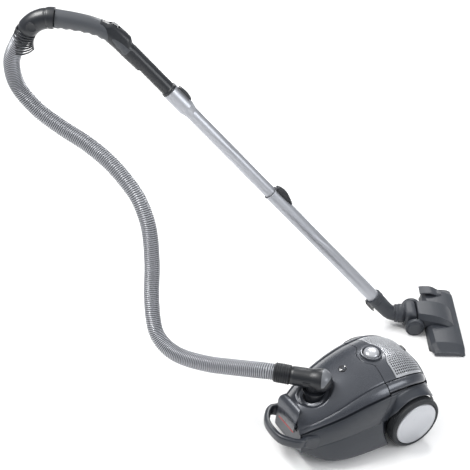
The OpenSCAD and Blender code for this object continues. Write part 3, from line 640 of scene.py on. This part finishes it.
def make_grille():
    rows, slots = 26, 15
    last_row, last_column = 2 * slots + 2, 2 * rows + 2
    across = [mix(-1, 1, (k + 0.42 * (k % 2) - 0.21) / last_column) for k in range(last_column + 1)]

    def grid(d, lift):
        out = []
        for i in range(last_row + 1):
            t = clamp((i + 0.36 * (i % 2) - 0.18) / last_row, 0, 1)
            row = []
            for k, w in enumerate(across):
                rim = i in (0, last_row) or k in (0, last_column)
                x = mix(grille_start(w * GRILLE_W), GRILLE_X1, t)
                row.append(top_point(x, w * (GRILLE_W - 0.005), d, lift + (0.7 if rim else 0)))
            out.append(row)
        return out

    def keep(i, j):
        inside = 1 < i < 2 * slots and 1 < j < 2 * rows
        return not (inside and i % 2 == 0 and j % 2 == 0)
    data = panel_data(grid(0, 0.6), grid(2.2, 0), keep)
    piece("grille_slotted", *data, CANISTER, MATERIALS["silver_plastic"], ["exhaust_grille"],
          roll=0.35, sharp=45)
    lining = [[top_point(mix(grille_start(w) + 3, GRILLE_X1 - 3, i / 16), w, 0, -4.5)
               for w in [mix(-0.75, 0.75, k / 40) for k in range(41)]] for i in range(17)]
    lower = [[(p[0], p[1], p[2] - 1.5) for p in row] for row in lining]
    piece("grille_lining", *panel_data(lining, lower), CANISTER, MATERIALS["black_plastic"], None,
          body="grille", slot="black_plastic")
    x = GRILLE_X1 - 13
    tab = [[(x + 4.5 * cos(a) * abs(cos(a)) ** -0.4 * s, 11 * sin(a) * s, crown_z(x) + h)
            for a in angles_round(40, 0.5)]
           for s, h in ((1, -2), (1, 1.6), (0.85, 2.6), (0.4, 3))]
    piece("grille_release", *loft_data(tab), CANISTER, MATERIALS["black_plastic"], None, body="grille",
          slot="black_plastic", sharp=60)


def make_hinge_pins():
    pins = [placed(lathe_data([(0, -5), (1.1, -5), (1.3, -4.8), (1.3, 4.8), (1.1, 5), (0, 5)], 32),
                   shift(HINGE_X, side * 32, crown_z(HINGE_X) - 4.4) @ turn(90, "X")) for side in (-1, 1)]
    # The steel pins take black plastic's colour: painted shade, so that they read as the dark gap of the
    # lid's seam.
    piece("hinge_pins_turned", *join_data(*pins), CANISTER, MATERIALS["black_plastic"], ["hinge_pins"],
          slot="black_plastic", sharp=50)


def make_pedal(side, node):
    start, end = HINGE_X - 0.6, REAR_X - 6

    def grid(d):
        out = []
        for i in range(41):
            x = mix(start, end, i / 40)
            w_out = (rail_y(x) - WALL - 1) / rail_y(x)
            row = []
            for j in range(21):
                u = j / 20
                w = mix(GRILLE_W + 0.006, w_out, u)
                lift = rail_rise((u - 0.1) / 0.9) - 1.5 * bump(u, 0.07, 0.06)
                row.append(top_point(x, side * w, 0, lift - d))
            out.append(row)
        return out
    piece(node + "_shell", *panel_data(grid(0), grid(5)), CANISTER, MATERIALS["graphite_lid"], [node],
          roll=1.2, sharp=50)


def make_tub():
    rows, cols = 112, 120
    angles = [90 * power(k / (cols / 2), 0.8) for k in range(-cols // 2, cols // 2 + 1)]

    def hug(x, z):
        """How far a row moves back so that the wide part of the tub ends along the wheel arch."""
        edge = WHEEL_X - sqrt(max(0, ARCH_R ** 2 - (z - WHEEL_R) ** 2))
        return (edge - WAIST_START - WAIST_RUN) * ease((x + 60) / 85) * ease((165 - x) / 105)

    def grid(d):
        out = []
        for i in range(rows + 1):
            row = [tub_point(mix(FRONT_X, REAR_X, i / rows), a, d) for a in angles]
            out.append([(x + hug(x, z), y, z) for x, y, z in row])
        return out
    outer = grid(0)

    def keep(i, j):
        x, y, z = outer[i][j]
        return (x + 1.5 - CASTER_X) ** 2 + y * y > 37 ** 2 or z > 30
    well = lathe_data([(35, 10), (38, 10), (38, 46), (5.1, 46), (5.1, 43), (35, 43)])
    well = placed(well, shift(CASTER_X, 0, 0))
    piece("tub_shell", *join_data(panel_data(outer, grid(WALL), keep), well), CANISTER,
          MATERIALS["graphite_shell"], ["lower_housing"], roll=1.0, sharp=50)


def break_x(v):
    return mix(FRONT_X + 0.6 * BODY_L - 26, FRONT_X + 0.6 * BODY_L + 10, v)


LEDGE = ((0.90, 0), (0.925, 0.4), (0.935, 1.6), (0.935, 4), (0.94, 7), (1, 8))


def rolled_rows(count, most=8):
    """Heights up a side panel and how far each lies in; the top edge tucks in under the rail."""
    return [(0.9 * j / count, 0) for j in range(count)] + [(v, min(tuck, most)) for v, tuck in LEDGE]


def make_side(side, node):
    levels = rolled_rows(20)

    def grid(d):
        return [[side_point(mix(FRONT_X, break_x(v), i / 60), v, d + tuck, side)
                 for v, tuck in levels] for i in range(61)]
    piece(node + "_shell", *panel_data(grid(0), grid(WALL)), CANISTER, MATERIALS["graphite_shell"], [node],
          roll=1.3, sharp=50)


FLARE = 24


def fender_low(x):
    reach = ARCH_R + 1.5
    if abs(x - WHEEL_X) >= reach:
        return 0
    arch = WHEEL_R + sqrt(reach ** 2 - (x - WHEEL_X) ** 2)
    return clamp((arch - seam_z(x)) / (rail_z(x) - seam_z(x)), 0, 0.93)


def make_fender(side, node):
    levels = rolled_rows(16, 2.4)

    def grid(d):
        out = []
        for i in range(121):
            row = []
            for level, tuck in levels:
                low = 0
                for _ in range(8):
                    low = fender_low(mix(break_x(low) + SEAM, REAR_X, i / 120))
                v = mix(low, 1, level)
                x0 = mix(break_x(v) + SEAM, REAR_X, i / 120)
                outward = WHEEL_INNER_Y + 15 - abs(side_point(x0, v, 0, 1)[1])
                flare = -clamp(outward, 0, FLARE) * ease(1.1 - level * 1.25) * ease(low / 0.5)
                inset = min(d + tuck, WALL + 0.6 if level > 0.9 else 99)
                row.append(side_point(x0, v, inset + flare, side))
            out.append(row)
        return out
    piece(node + "_shell", *panel_data(grid(0), grid(WALL)), CANISTER, MATERIALS["graphite_shell"], [node],
          roll=1.3, sharp=50)


def rear_outline():
    upper = [top_point(REAR_X, k / 40, 0) for k in range(-40, 41)]
    lower = [tub_point(REAR_X, 90 * k / 40, 0) for k in range(40, -41, -1)]
    return [(p[1], p[2]) for p in upper + lower[1:-1]]


def make_rear_wall():
    outline = rear_outline()
    centre_z = 76

    def ring(s, x):
        return [(x, y * s, centre_z + (z - centre_z) * s) for y, z in outline]
    rings = [ring(1, REAR_X + 0.2), ring(1, REAR_X + 2)]
    rings += [ring(s, REAR_X + 2 + 7 * (1 - s * s))
              for s in (0.985, 0.95, 0.9, 0.8, 0.65, 0.5, 0.3, 0.1, 0.01)]
    piece("rear_wall_shell", *loft_data(rings), CANISTER, MATERIALS["graphite_shell"], ["rear_wall"],
          sharp=60)
    lip = lathe_data([(5, 0), (12, 0), (12, 1), (10.5, 3), (5.6, 3), (5, 2.4)])
    piece("cable_outlet_ring", *lip, CANISTER @ shift(REAR_X + 6.6, 44, 70) @ turn(90, "Y"),
          MATERIALS["black_plastic"], ["cable_outlet"], sharp=50)


def make_handle():
    half = rail_y(FRONT_X) + 14
    z = seam_z(FRONT_X) + 41
    reach = 45
    side = [(FRONT_X + 34, seam_y(FRONT_X + 34) - 5, z - 12),
            (FRONT_X + 18, seam_y(FRONT_X + 18) - 2, z - 10),
            (FRONT_X + 4, half - 3, z - 7), (FRONT_X - 12, half - 1, z - 3),
            (FRONT_X - 28, half - 13, z - 1), (FRONT_X - reach + 3, half / 2.2, z - 1)]
    route = [(x, -y, h) for x, y, h in side] + [(FRONT_X - reach, 0, z - 2)] + side[::-1]
    path = fair(route, 12)

    def radius(i, t, a):
        near = min(t, 1 - t)
        high = 12.5 + 8 * (1 - ease(near / 0.3)) - 4 * (1 - ease(near / 0.04))
        up = power(cos(a), 0.62) * high
        out = power(sin(a), 0.75) * mix(4, 7, ease(near / 0.2))
        return up, out
    piece("handle_loop", *sweep_data(path, (0, 0, 1), radius, 56), CANISTER, MATERIALS["graphite_shell"],
          ["carry_handle"], sharp=60)


def make_latch():
    x = FRONT_X - WALL - 3
    rows = [(87, 31, -1, 4), (90, 31, -1.8, 4), (104, 34, -2.4, 4), (120, 37, -2, 4), (134, 39, 0, 4),
            (143, 38, 3.5, 3.4), (149, 34, 9, 2.4), (152, 30, 15, 2)]

    def grid(back):
        return [[(x + lean + (thick / 2 if back else -thick / 2), mix(-half, half, j / 24), z)
                 for j in range(25)] for z, half, lean, thick in rows]
    piece("latch_tongue", *panel_data(grid(False), grid(True)), CANISTER, MATERIALS["graphite_lid"],
          ["lid_latch"], roll=1.0, sharp=50)
    line = [[(x - 4.4, mix(-30.5, 30.5, j / 24), z) for j in range(25)] for z in (88.2, 90.6)]
    back = [[(x - 2, p[1], p[2]) for p in row] for row in line]
    piece("latch_line", *panel_data(line, back), CANISTER, RED_LINE, None, body="latch", slot="graphite_lid")


make_lid()
make_rear_deck()
make_grille()
make_hinge_pins()
make_pedal(-1, "power_pedal")
make_pedal(1, "rewind_pedal")
make_tub()
make_side(-1, "side_panel_left")
make_side(1, "side_panel_right")
make_fender(-1, "fender_left")
make_fender(1, "fender_right")
make_rear_wall()
make_handle()
make_latch()


# ---------- Rear wheels ----------
def make_wheel(side, suffix):
    place = CANISTER @ shift(WHEEL_X, side * WHEEL_INNER_Y, WHEEL_R) @ turn(90 if side < 0 else -90, "X")
    sides = 180
    rings = []
    for k in range(sides):
        a = 2 * pi * k / sides
        profile = [(59, 0), (63, 0), (65.4, 1.2), (66.6, 4)]
        for z in (6.5, 10.5, 14.5, 18.5):
            profile += [(67, z - 1.6), (67, z + 0.9), (66.1, z + 1.2), (66.1, z + 1.8)]
        profile += [(66.6, 22.6), (65.6, 25.4), (63.4, 27.4), (60.4, 28.2), (57.6, 27.4), (56.4, 25),
                    (56.2, 20), (59, 18)]
        rings.append([(r * cos(a), r * sin(a), z) for r, z in profile])
    piece("tyre_" + suffix + "_tread", *loft_data(rings, closed=True), place, MATERIALS["tyre_rubber"],
          ["tyre_" + suffix], sharp=50)
    dome = [(0, 34), (10, 33.9), (20, 33.4), (30, 32.5), (40, 31.2), (46, 30.2), (48.6, 29.2), (50, 29),
            (52.6, 29.2), (54.6, 28.6), (55.8, 27.2), (56.1, 25), (56.1, 19), (53, 19), (53, 23), (48, 25),
            (30, 28), (0, 29)]
    piece("cap_" + suffix, *lathe_data(dome, 180), place, MATERIALS["silver_plastic"],
          ["wheel_cap_" + suffix], sharp=50)


make_wheel(-1, "left")
make_wheel(1, "right")

# ---------- Connector, knob and window ----------
BULB_R = 27
BULB_Z = -13


def bulb(angle, grow):
    return (BULB_R + grow) * sin(radians(angle)), BULB_Z - (BULB_R + grow) * cos(radians(angle))


barrel = [bulb(a, 0) for a in range(0, 91, 6)]
barrel += [(26.6, -6), (25, 1), (23.5, 6), (22.8, 12), (22.4, 30), (22, 48), (21.4, 54), (20.4, 55),
           (17, 55), (17, 75), (14.5, 75), (14.5, -6), (0, -6)]
stub = lathe_data([(16, 132), (19.9, 132), (19.9, 176), (24, 184), (22, 193), (16, 193)], 96)
elbow = join_data(placed(lathe_data(barrel, 96), BARREL), placed(stub, CANISTER @ shift(INLET_X, 0, 0)))
piece("connector_elbow", *elbow, Matrix.Identity(4), MATERIALS["black_plastic"], ["connector"], sharp=45)


def crescent(grow):
    """Rows of a patch on the bulb's end: its middle is at the top and its two tips run out at the sides."""
    rows = []
    for i in range(41):
        around = mix(-1, 1, i / 40)
        start = mix(30, 66, abs(around) ** 1.7)
        out = []
        for j in range(13):
            r, z = bulb(mix(start, 84 - 6 * abs(around), j / 12), grow)
            turned = pi + radians(88) * around
            out.append((r * cos(turned), r * sin(turned), z))
        rows.append(out)
    return rows


piece("connector_band", *panel_data(crescent(0.8), crescent(-1)), BARREL, PALE_GREY, None, body="lid",
      slot="silver_plastic", roll=0.3, sharp=50)
window = [(0, 0.2), (5, 0.4), (7.2, 1.2), (8.6, 1.8), (9.6, 1.4), (10, 0), (10, -3), (0, -3)]
window_place = CANISTER @ shift(WINDOW_X, 0, crown_z(WINDOW_X) - 0.2) @ turn(-8, "Y")
piece("window_disc", *lathe_data(window, 96), window_place, MATERIALS["window"], ["indicator_window"],
      sharp=40)
knob = [(0, 24), (5, 23.8), (10, 23.1), (14, 21.6), (17, 19.3), (18.6, 16.6), (19, 14), (19, 3.6),
        (17, 3.4), (5, 3.4), (5, -8), (0, -8)]
seat = [(5.05, 0), (23, 0), (24, 10), (26, 14), (26, 17), (25, 18.4), (22.4, 18), (20.6, 15.5),
        (20.2, 12), (20.2, 3), (5.05, 3)]
knob_place = CANISTER @ shift(KNOB_X, 0, crown_z(KNOB_X) - 14)
piece("knob_collar", *lathe_data(seat, 120), knob_place, MATERIALS["graphite_lid"], ["knob_seat"],
      slot="graphite_lid", sharp=40)
piece("knob_dome", *lathe_data(knob, 120), knob_place, MATERIALS["silver_plastic"], ["power_knob"],
      sharp=40)

# ---------- Grip ----------
GRIP_ROUTE = [(-845, 0, 874.2), (-822, 0, 871), (-796, 0, 866.5), (-768, 0, 860), (-742, 0, 850),
              (-718, 0, 834), (-699, 0, 815), (-684, 0, 797)]


GRIP_HIGH, GRIP_LOW = 22, 18
GRIP_HALF = 19


def grip_radius(i, t, a):
    high = mix(GRIP_HIGH, GRIP_LOW, t)
    under = max(0, -cos(a)) ** 2
    wave = 1.3 * cos(2 * pi * 9 * t) * under * ease(t / 0.08) * ease((1 - t) / 0.1)
    ends = 1 - 0.08 * (ease(1 - t / 0.02) + ease((t - 0.98) / 0.02))
    return cos(a) * high * ends + (wave if cos(a) < 0 else 0), sin(a) * GRIP_HALF * ends


piece("grip_wavy", *sweep_data(fair(GRIP_ROUTE, 14), (0, 0, 1), grip_radius, 64), NOZZLE,
      MATERIALS["grip_grey"], ["grip"], sharp=60)

# ---------- Grip tube with its saddle ----------
BELL_MOUTH = 869
GRIP_TOP = 1006


def make_grip_tube():
    barrel = lathe_data([(13, BELL_MOUTH - 50), (15.2, BELL_MOUTH - 50), (15.2, BELL_MOUTH + 0.4),
                         (19.2, BELL_MOUTH + 0.4), (19.8, BELL_MOUTH + 1.4), (19.8, BELL_MOUTH + 5.4),
                         (19, BELL_MOUTH + 7), (17.4, BELL_MOUTH + 8.2), (17.2, GRIP_TOP - 1),
                         (13, GRIP_TOP - 1)], 96)
    barrel = placed(barrel, NOZZLE.inverted() @ WAND)
    whole = fair(GRIP_ROUTE, 14)
    first = 52
    down_tube = Vector((0.6525, 0, -0.758))
    run = whole[first:] + [whole[-1] + down_tube * d for d in (4, 8, 12, 18, 26, 36, 48)]

    def radius(i, t, a):
        share = clamp((t * (len(run) - 1) + first) / (len(whole) - 1), 0, 1)
        high = mix(GRIP_HIGH, GRIP_LOW, share)
        cover = mix(50, 205, ease((t - 0.05) / 0.5))
        turned = math.degrees(abs((a + pi) % (2 * pi) - pi))
        skin = mix(-2.5, 1.3, ease((cover - turned) / 10)) * ease(t / 0.03)
        skin -= 1.5 * ease((t - 0.9) / 0.1)
        from_top = abs(a if a < pi else a - 2 * pi)
        hump = 7.5 * ease((t - 0.10) / 0.14) * ease((0.78 - t) / 0.16) * ease((1.15 - from_top) / 0.35)
        up, out = cos(a) * (high + skin + hump), sin(a) * (GRIP_HALF - 1.8 * share + skin)
        along = (SADDLE.inverted() @ NOZZLE @ run[i]).z
        if -17.5 < along < 17.5 and abs(out) < 6.3 and up > 0:
            up = min(up, 20.6)
        return up, out
    rings = sweep_data(run, (0, 0, 1), radius, 72)
    piece("grip_tube_saddle", *join_data(barrel, rings), NOZZLE, MATERIALS["handle_black"],
          ["grip_tube"], roll=0.5, sharp=42)


make_grip_tube()


# ---------- Hose sleeve and kink guard ----------
ARC_R = 68


def arc_sweep(start, end, steps, radius, sides=56):
    """Rings of a body round the sleeve's bend, from one angle to another."""
    rings = []
    for i in range(steps + 1):
        t = i / steps
        b = radians(mix(start, end, t))
        ring = []
        for k in range(sides):
            a = 2 * pi * k / sides
            r = radius(t, a)
            d = ARC_R + r * cos(a)
            ring.append((d * cos(b), d * sin(b), r * sin(a)))
        rings.append(ring)
    return rings


def make_sleeve():
    def skin(t, a):
        cuff = 1.3 * ease((0.2 - t) / 0.04)
        mark = -0.8 * bump(t, 0.22, 0.012)
        tail = -2.2 * ease((t - 0.86) / 0.14)
        return 23.6 + cuff + mark + tail
    outer = arc_sweep(82, 148, 80, skin)
    inner = arc_sweep(148, 82, 30, lambda t, a: 20)
    points, faces = loft_data(outer + inner, closed=True)
    badge = []
    for s, lift in ((1, -2.4), (1, 0.2), (0.93, 0.5), (0.88, 0.2), (0.1, 0.1)):
        ring = []
        for a in angles_round(40):
            d = ARC_R + 12 * cos(a) * s
            b = radians(126) + 0.16 * sin(a) * s
            ring.append((cos(b) * d, sin(b) * d, 23.9 + lift))
        badge.append(ring)
    piece("hose_sleeve_skin", *join_data((points, faces), loft_data(badge)), SLEEVE,
          MATERIALS["handle_black"], ["hose_sleeve"], sharp=45)


def make_guard():
    parts = []
    for rib in range(8):
        middle = 150.5 + 5.6 * rib
        shrink = 0.25 * rib
        ring = arc_sweep(middle - 1.75, middle + 1.75, 6,
                         lambda t, a: 24.2 - shrink - 0.9 * (2 * t - 1) ** 2, 64)
        hole = arc_sweep(middle + 1.75, middle - 1.75, 2, lambda t, a: 20.4, 64)
        parts.append(loft_data(ring + hole, closed=True))
    for away, end, wide, taper, top in ((-21.0, 191, 9, 2.5, 2.9), (20.8, 186, 11, 4, 3)):
        way = math.copysign(1, away)
        spine = []
        for i in range(31):
            b = radians(mix(147, end, i / 30))
            half = way * (wide - taper * i / 30)
            spine.append([((ARC_R + away + way * h) * cos(b), (ARC_R + away + way * h) * sin(b), y)
                          for h, y in ((0, half), (0, -half), (2, -half * 0.9), (top, 0), (2, half * 0.9))])
        parts.append(loft_data(spine))
    piece("kink_guard_ribs", *join_data(*parts), SLEEVE, MATERIALS["handle_black"], ["kink_guard"],
          roll=0.3, sharp=50)


make_sleeve()
make_guard()

# ---------- Telescopic wand ----------
OUTER_MOUTH = 502
ring_profile = [(16.6, -3.6), (17.9, -3.6), (18.5, -3), (18.5, -0.6), (18.1, 0), (16.0, 0),
                (16.0, -1.5), (16.6, -1.5)]
piece("mouth_ring", *lathe_data([(r, z + OUTER_MOUTH) for r, z in ring_profile], 96), WAND,
      MATERIALS["handle_black"], None, body="wand", slot="handle_black", sharp=45)


def make_catch():
    rings = []
    for i in range(41):
        t = i / 40
        z = mix(OUTER_MOUTH + 1, OUTER_MOUTH - 62, t)
        tall = 14.5 * (sin(pi * clamp(t * 0.9 + 0.1, 0, 1)) ** 0.8) * (1 - 0.55 * t) + 1.4
        wide = 8.5 * (1 - 0.6 * t * t)
        ring = []
        for k in range(40):
            a = 2 * pi * k / 40
            y = power(sin(a), 0.8) * wide
            x = 19.3 + (tall * cos(a) ** 0.7 if cos(a) > 0 else 0)
            side_dip = 1.6 * bump(cos(a), 0.4, 0.25) * bump(t, 0.45, 0.3)
            ring.append((x, y * (1 - side_dip / 8), z))
        rings.append(ring)
    piece("catch_fin", *loft_data(rings), WAND, MATERIALS["handle_black"], ["tube_catch"], roll=0.5,
          sharp=48)


def make_bell_button():
    rings = []
    for i in range(33):
        t = i / 32
        z = mix(BELL_MOUTH - 47, BELL_MOUTH - 5, t)
        tall = 5.6 * sin(pi * clamp(0.06 + 0.88 * t, 0, 1)) ** 0.6
        rings.append([(22.3 + (tall * cos(a) ** 0.6 if cos(a) > 0 else 0),
                       power(sin(a), 0.7) * 6.2, z)
                      for a in angles_round(36)])
    piece("bell_button_pad", *loft_data(rings), WAND, MATERIALS["handle_black"], ["bell_button"],
          roll=0.4, sharp=48)


make_catch()
make_bell_button()


# ---------- Elbow, clamp, neck and wheels of the nozzle ----------
ROLLER_X, ROLLER_Z = 37, 25


def make_elbow():
    axis = (WAND.to_3x3() @ Vector((0, 0, 1))).normalized()
    axis = (NOZZLE.to_3x3().inverted() @ axis).normalized()
    bend = Vector((BEND_X, 0, NECK_Z))
    points = [bend + axis * s for s in (75, 62, 50, 38, 26)]
    for k in range(1, 8):
        t = k / 8
        a, b, c = bend + axis * 22, bend, bend + Vector((10, 0, 0))
        points.append((1 - t) ** 2 * a + 2 * t * (1 - t) * b + t * t * c)
    points += [bend + Vector((12.9, 0, 0))]

    def radius(i, t, a):
        r = 20.6 + 1.6 * ease((0.2 - t) / 0.02) - 0.9 * ease((t - 0.3) / 0.3) + 0.8 * ease((t - 0.93) / 0.03)
        r -= 1.0 * bump(t, 0.215, 0.012)
        return r * cos(a), r * sin(a)
    path = even(fair(points, 6), 1.2)
    stub = lathe_data([(14, 12), (17, 12), (17, 27), (14, 27)], 96)
    stub = placed(stub, shift(BEND_X, 0, NECK_Z) @ turn(90, "Y"))
    piece("elbow_bend", *join_data(sweep_data(path, (0, 1, 0), radius, 64), stub), NOZZLE,
          MATERIALS["nozzle_grey"], ["nozzle_elbow"], sharp=50)
    rings = []
    for i in range(25):
        t = i / 24
        z = mix(37, 73, t)
        tall = 2 + 2.8 * sin(pi * t) ** 0.5
        rings.append([(-24.5 - (tall * cos(a) ** 0.6 if cos(a) > 0 else 0),
                       power(sin(a), 0.6) * (9 - 1.6 * t), z)
                      for a in angles_round(36)])
    piece("clamp_pad", *loft_data(rings), WAND, MATERIALS["handle_black"], ["nozzle_clamp"], roll=0.5,
          sharp=48)


def make_neck():
    profile = [(17.06, 0), (23.6, 0), (24.4, 0.8), (24.4, 5), (23.6, 6), (23.4, 7.4), (24.8, 8.6), (25.5, 10),
               (25.5, 19), (24.6, 20.4), (23.8, 21), (23.8, 24), (23, 25), (14, 25), (14, 15), (17.06, 15)]
    ring = placed(lathe_data(profile, 128), shift(BEND_X + 13.4, 0, NECK_Z) @ turn(90, "Y"))
    block = []
    for x, half, low, high in ((12.4, 22, 15, 58), (15, 27, 13, 60), (20, 31, 12, 60.5), (30, 32, 12, 60),
                               (38, 31, 14, 58), (42.5, 29, 17, 54)):
        middle, tall = (low + high) / 2, (high - low) / 2
        block.append([(x, power(cos(a), 0.35) * half,
                       middle + power(sin(a), 0.35) * tall)
                      for a in angles_round(64, 0.5)])
    axle = placed(lathe_data([(0, -50), (5, -50), (5, 50), (0, 50)], 48),
                  shift(ROLLER_X, 0, ROLLER_Z) @ turn(90, "X"))
    piece("neck_swivel", *join_data(ring, loft_data(block), axle), NOZZLE, MATERIALS["nozzle_grey"], ["neck"],
          roll=0.4, sharp=45)


def make_nozzle_wheels():
    parts = []
    for side in (-1, 1):
        profile = [(5.06, 0.4), (21, 0.4), (23.6, 1.2), (24.8, 3.2), (25, 5), (25, 10.5), (24.6, 12.2),
                   (23.2, 13.6), (21.4, 14), (20.8, 13.2), (19.8, 13.2), (19.2, 14.6), (18, 16),
                   (14, 16.5), (0, 16.6), (0, 13.5), (5.06, 13.5)]
        place = shift(ROLLER_X, side * 37, ROLLER_Z) @ turn(90 if side < 0 else -90, "X")
        parts.append(placed(lathe_data(profile, 128), place))
    piece("nozzle_rollers", *join_data(*parts), NOZZLE, MATERIALS["nozzle_grey"], ["nozzle_wheels"],
          sharp=50)


# ---------- Nozzle head ----------
HEAD_X0 = 66
HEAD_X1 = HEAD_X0 + 96
HEAD_HALF = 134


def head_section(v):
    """Rear, top and front points of the head at a distance v from its middle."""
    s = abs(v) / HEAD_HALF
    end = ease((s - 0.78) / 0.22)
    rear = HEAD_X0 + 2 + 3 * clamp((s - 0.2) / 0.6, 0, 1) + 9 * end
    front = HEAD_X1 - 3 * end
    top = mix(29, 15, clamp((s - 0.80) / 0.19, 0, 1))
    knee = rear + 13
    nose = mix(17, 11, end)
    return [(rear, 4.2), (rear, 10), (rear + 2.5, mix(20, 12, end)), (knee, top), (knee + 18, top),
            (front - 26, mix(top, nose, 0.25)), (front - 9, nose + 1), (front - 2, nose - 3), (front, 8),
            (front, 4.2)]


def make_head():
    stations = [-134, -133, -130, -125, -118, -112, -108, -106.5, -105, -90, -70, -50, -46, -30]
    stations = stations + [-15, 0, 15] + [-v for v in reversed(stations)]
    rings = [[(x, v, z) for x, z in head_section(v)] for v in stations]
    body = loft_data(rings)
    ears = []
    for side in (-1, 1):
        ear = []
        for y in (28.6, 29.4, 34.6, 35.4):
            grow = 0 if y in (29.4, 34.6) else -0.8
            outline = [(ROLLER_X + (10 + grow) * cos(a), ROLLER_Z + (10 + grow) * sin(a))
                       for a in [radians(v) for v in range(90, 271, 12)]]
            outline += [(HEAD_X0 + 14, 15 - grow), (HEAD_X0 + 14, 35 + grow)]
            ear.append([(x, side * y, z) for x, z in outline])
        ears.append(loft_data(ear))
    duct = []
    for x, half, low, high in ((45.6, 33, 31, 56), (47, 34.6, 29, 58), (60, 37, 26, 58), (80, 39, 24, 56),
                               (104, 41, 20, 51), (122, 43, 18, 43), (136, 43, 14, 33), (143, 42, 12, 24)):
        top = half - 9
        middle = mix(low, high, 0.5)
        duct.append([(x, -half, low), (x, -half, middle), (x, -top, high - 0.4), (x, 0, high),
                     (x, top, high - 0.4), (x, half, middle), (x, half, low)])
    piece("head_shell", *join_data(body, loft_data(duct), *ears), NOZZLE, MATERIALS["nozzle_grey"],
          ["nozzle_head"], roll=1.1, sharp=24)


PEDAL_Y = 101


def make_mode_pedal():
    rings = []
    for i in range(25):
        t = i / 24
        x = mix(66, 128, t)
        height = 40 - 12 * ease((t - 0.45) / 0.55) - 1.5 * (1 - ease(t / 0.2))
        half = 17 - 3 * ease((t - 0.6) / 0.4)
        thick = mix(4, 7, ease(t / 0.6))
        rings.append([(x, PEDAL_Y + power(cos(a), 0.4) * half,
                       height - thick / 2 + power(sin(a), 0.5) * thick / 2)
                      for a in angles_round(48, 0.5)])
    foot = [[(x, PEDAL_Y + power(cos(a), 0.4) * 12, 26 + 6 * sin(a))
             for a in angles_round(48, 0.5)] for x in (104, 105, 125, 126)]
    piece("mode_pedal_hook", *join_data(loft_data(rings), loft_data(foot)), NOZZLE, MATERIALS["nozzle_grey"],
          ["nozzle_pedal"], sharp=45)


make_elbow()
make_neck()
make_nozzle_wheels()
make_head()
make_mode_pedal()


# ---------- Dust bag: fleece, crowned, with its card collar ----------
def make_dust_bag():
    rings = []
    for i in range(41):
        t = i / 40
        x = mix(FRONT_X + 38, HINGE_X - 36, t)
        fat = sin(pi * clamp(t * 0.98 + 0.01, 0, 1)) ** 0.42
        half = mix(48, 70, t) * fat
        low, high = 80 - 36 * fat, 84 + 34 * fat
        ring = []
        for k in range(72):
            a = 2 * pi * k / 72
            y = power(cos(a), 0.7) * half
            z = (low + high) / 2 + power(sin(a), 0.8) * (high - low) / 2
            crease = noise.noise(Vector((x, y, z)) * 0.035) * 3.5 + 1.1 * cos(7 * a)
            pull = 1 + crease / 60 * fat
            ring.append((x, y * pull, (z - 82) * pull + 82))
        rings.append(ring)
    piece("dust_bag_fleece", *loft_data(rings), CANISTER, MATERIALS["paper_bag"], ["dust_bag"], sharp=80)
    collar = lathe_data([(16, 118), (34, 118), (34.6, 119), (34.6, 121.6), (34, 122.4), (16.6, 122.4),
                         (16, 121.6)], 96)
    piece("bag_collar", *collar, CANISTER @ shift(INLET_X, 0, 0), MATERIALS["paper_bag"], None, body="root",
          slot="paper_bag", sharp=45)


make_dust_bag()

# ---------- Floor ----------
FLOOR_R = 60
floor_mesh = bpy.data.meshes.new("floor")
rim = [(FLOOR_R * cos(a), FLOOR_R * sin(a), 0) for a in angles_round(64)]
floor_mesh.from_pydata(rim, [], [tuple(range(64))])
floor_mesh.materials.append(FLOOR)
floor = bpy.data.objects.new("floor", floor_mesh)
scene.collection.objects.link(floor)
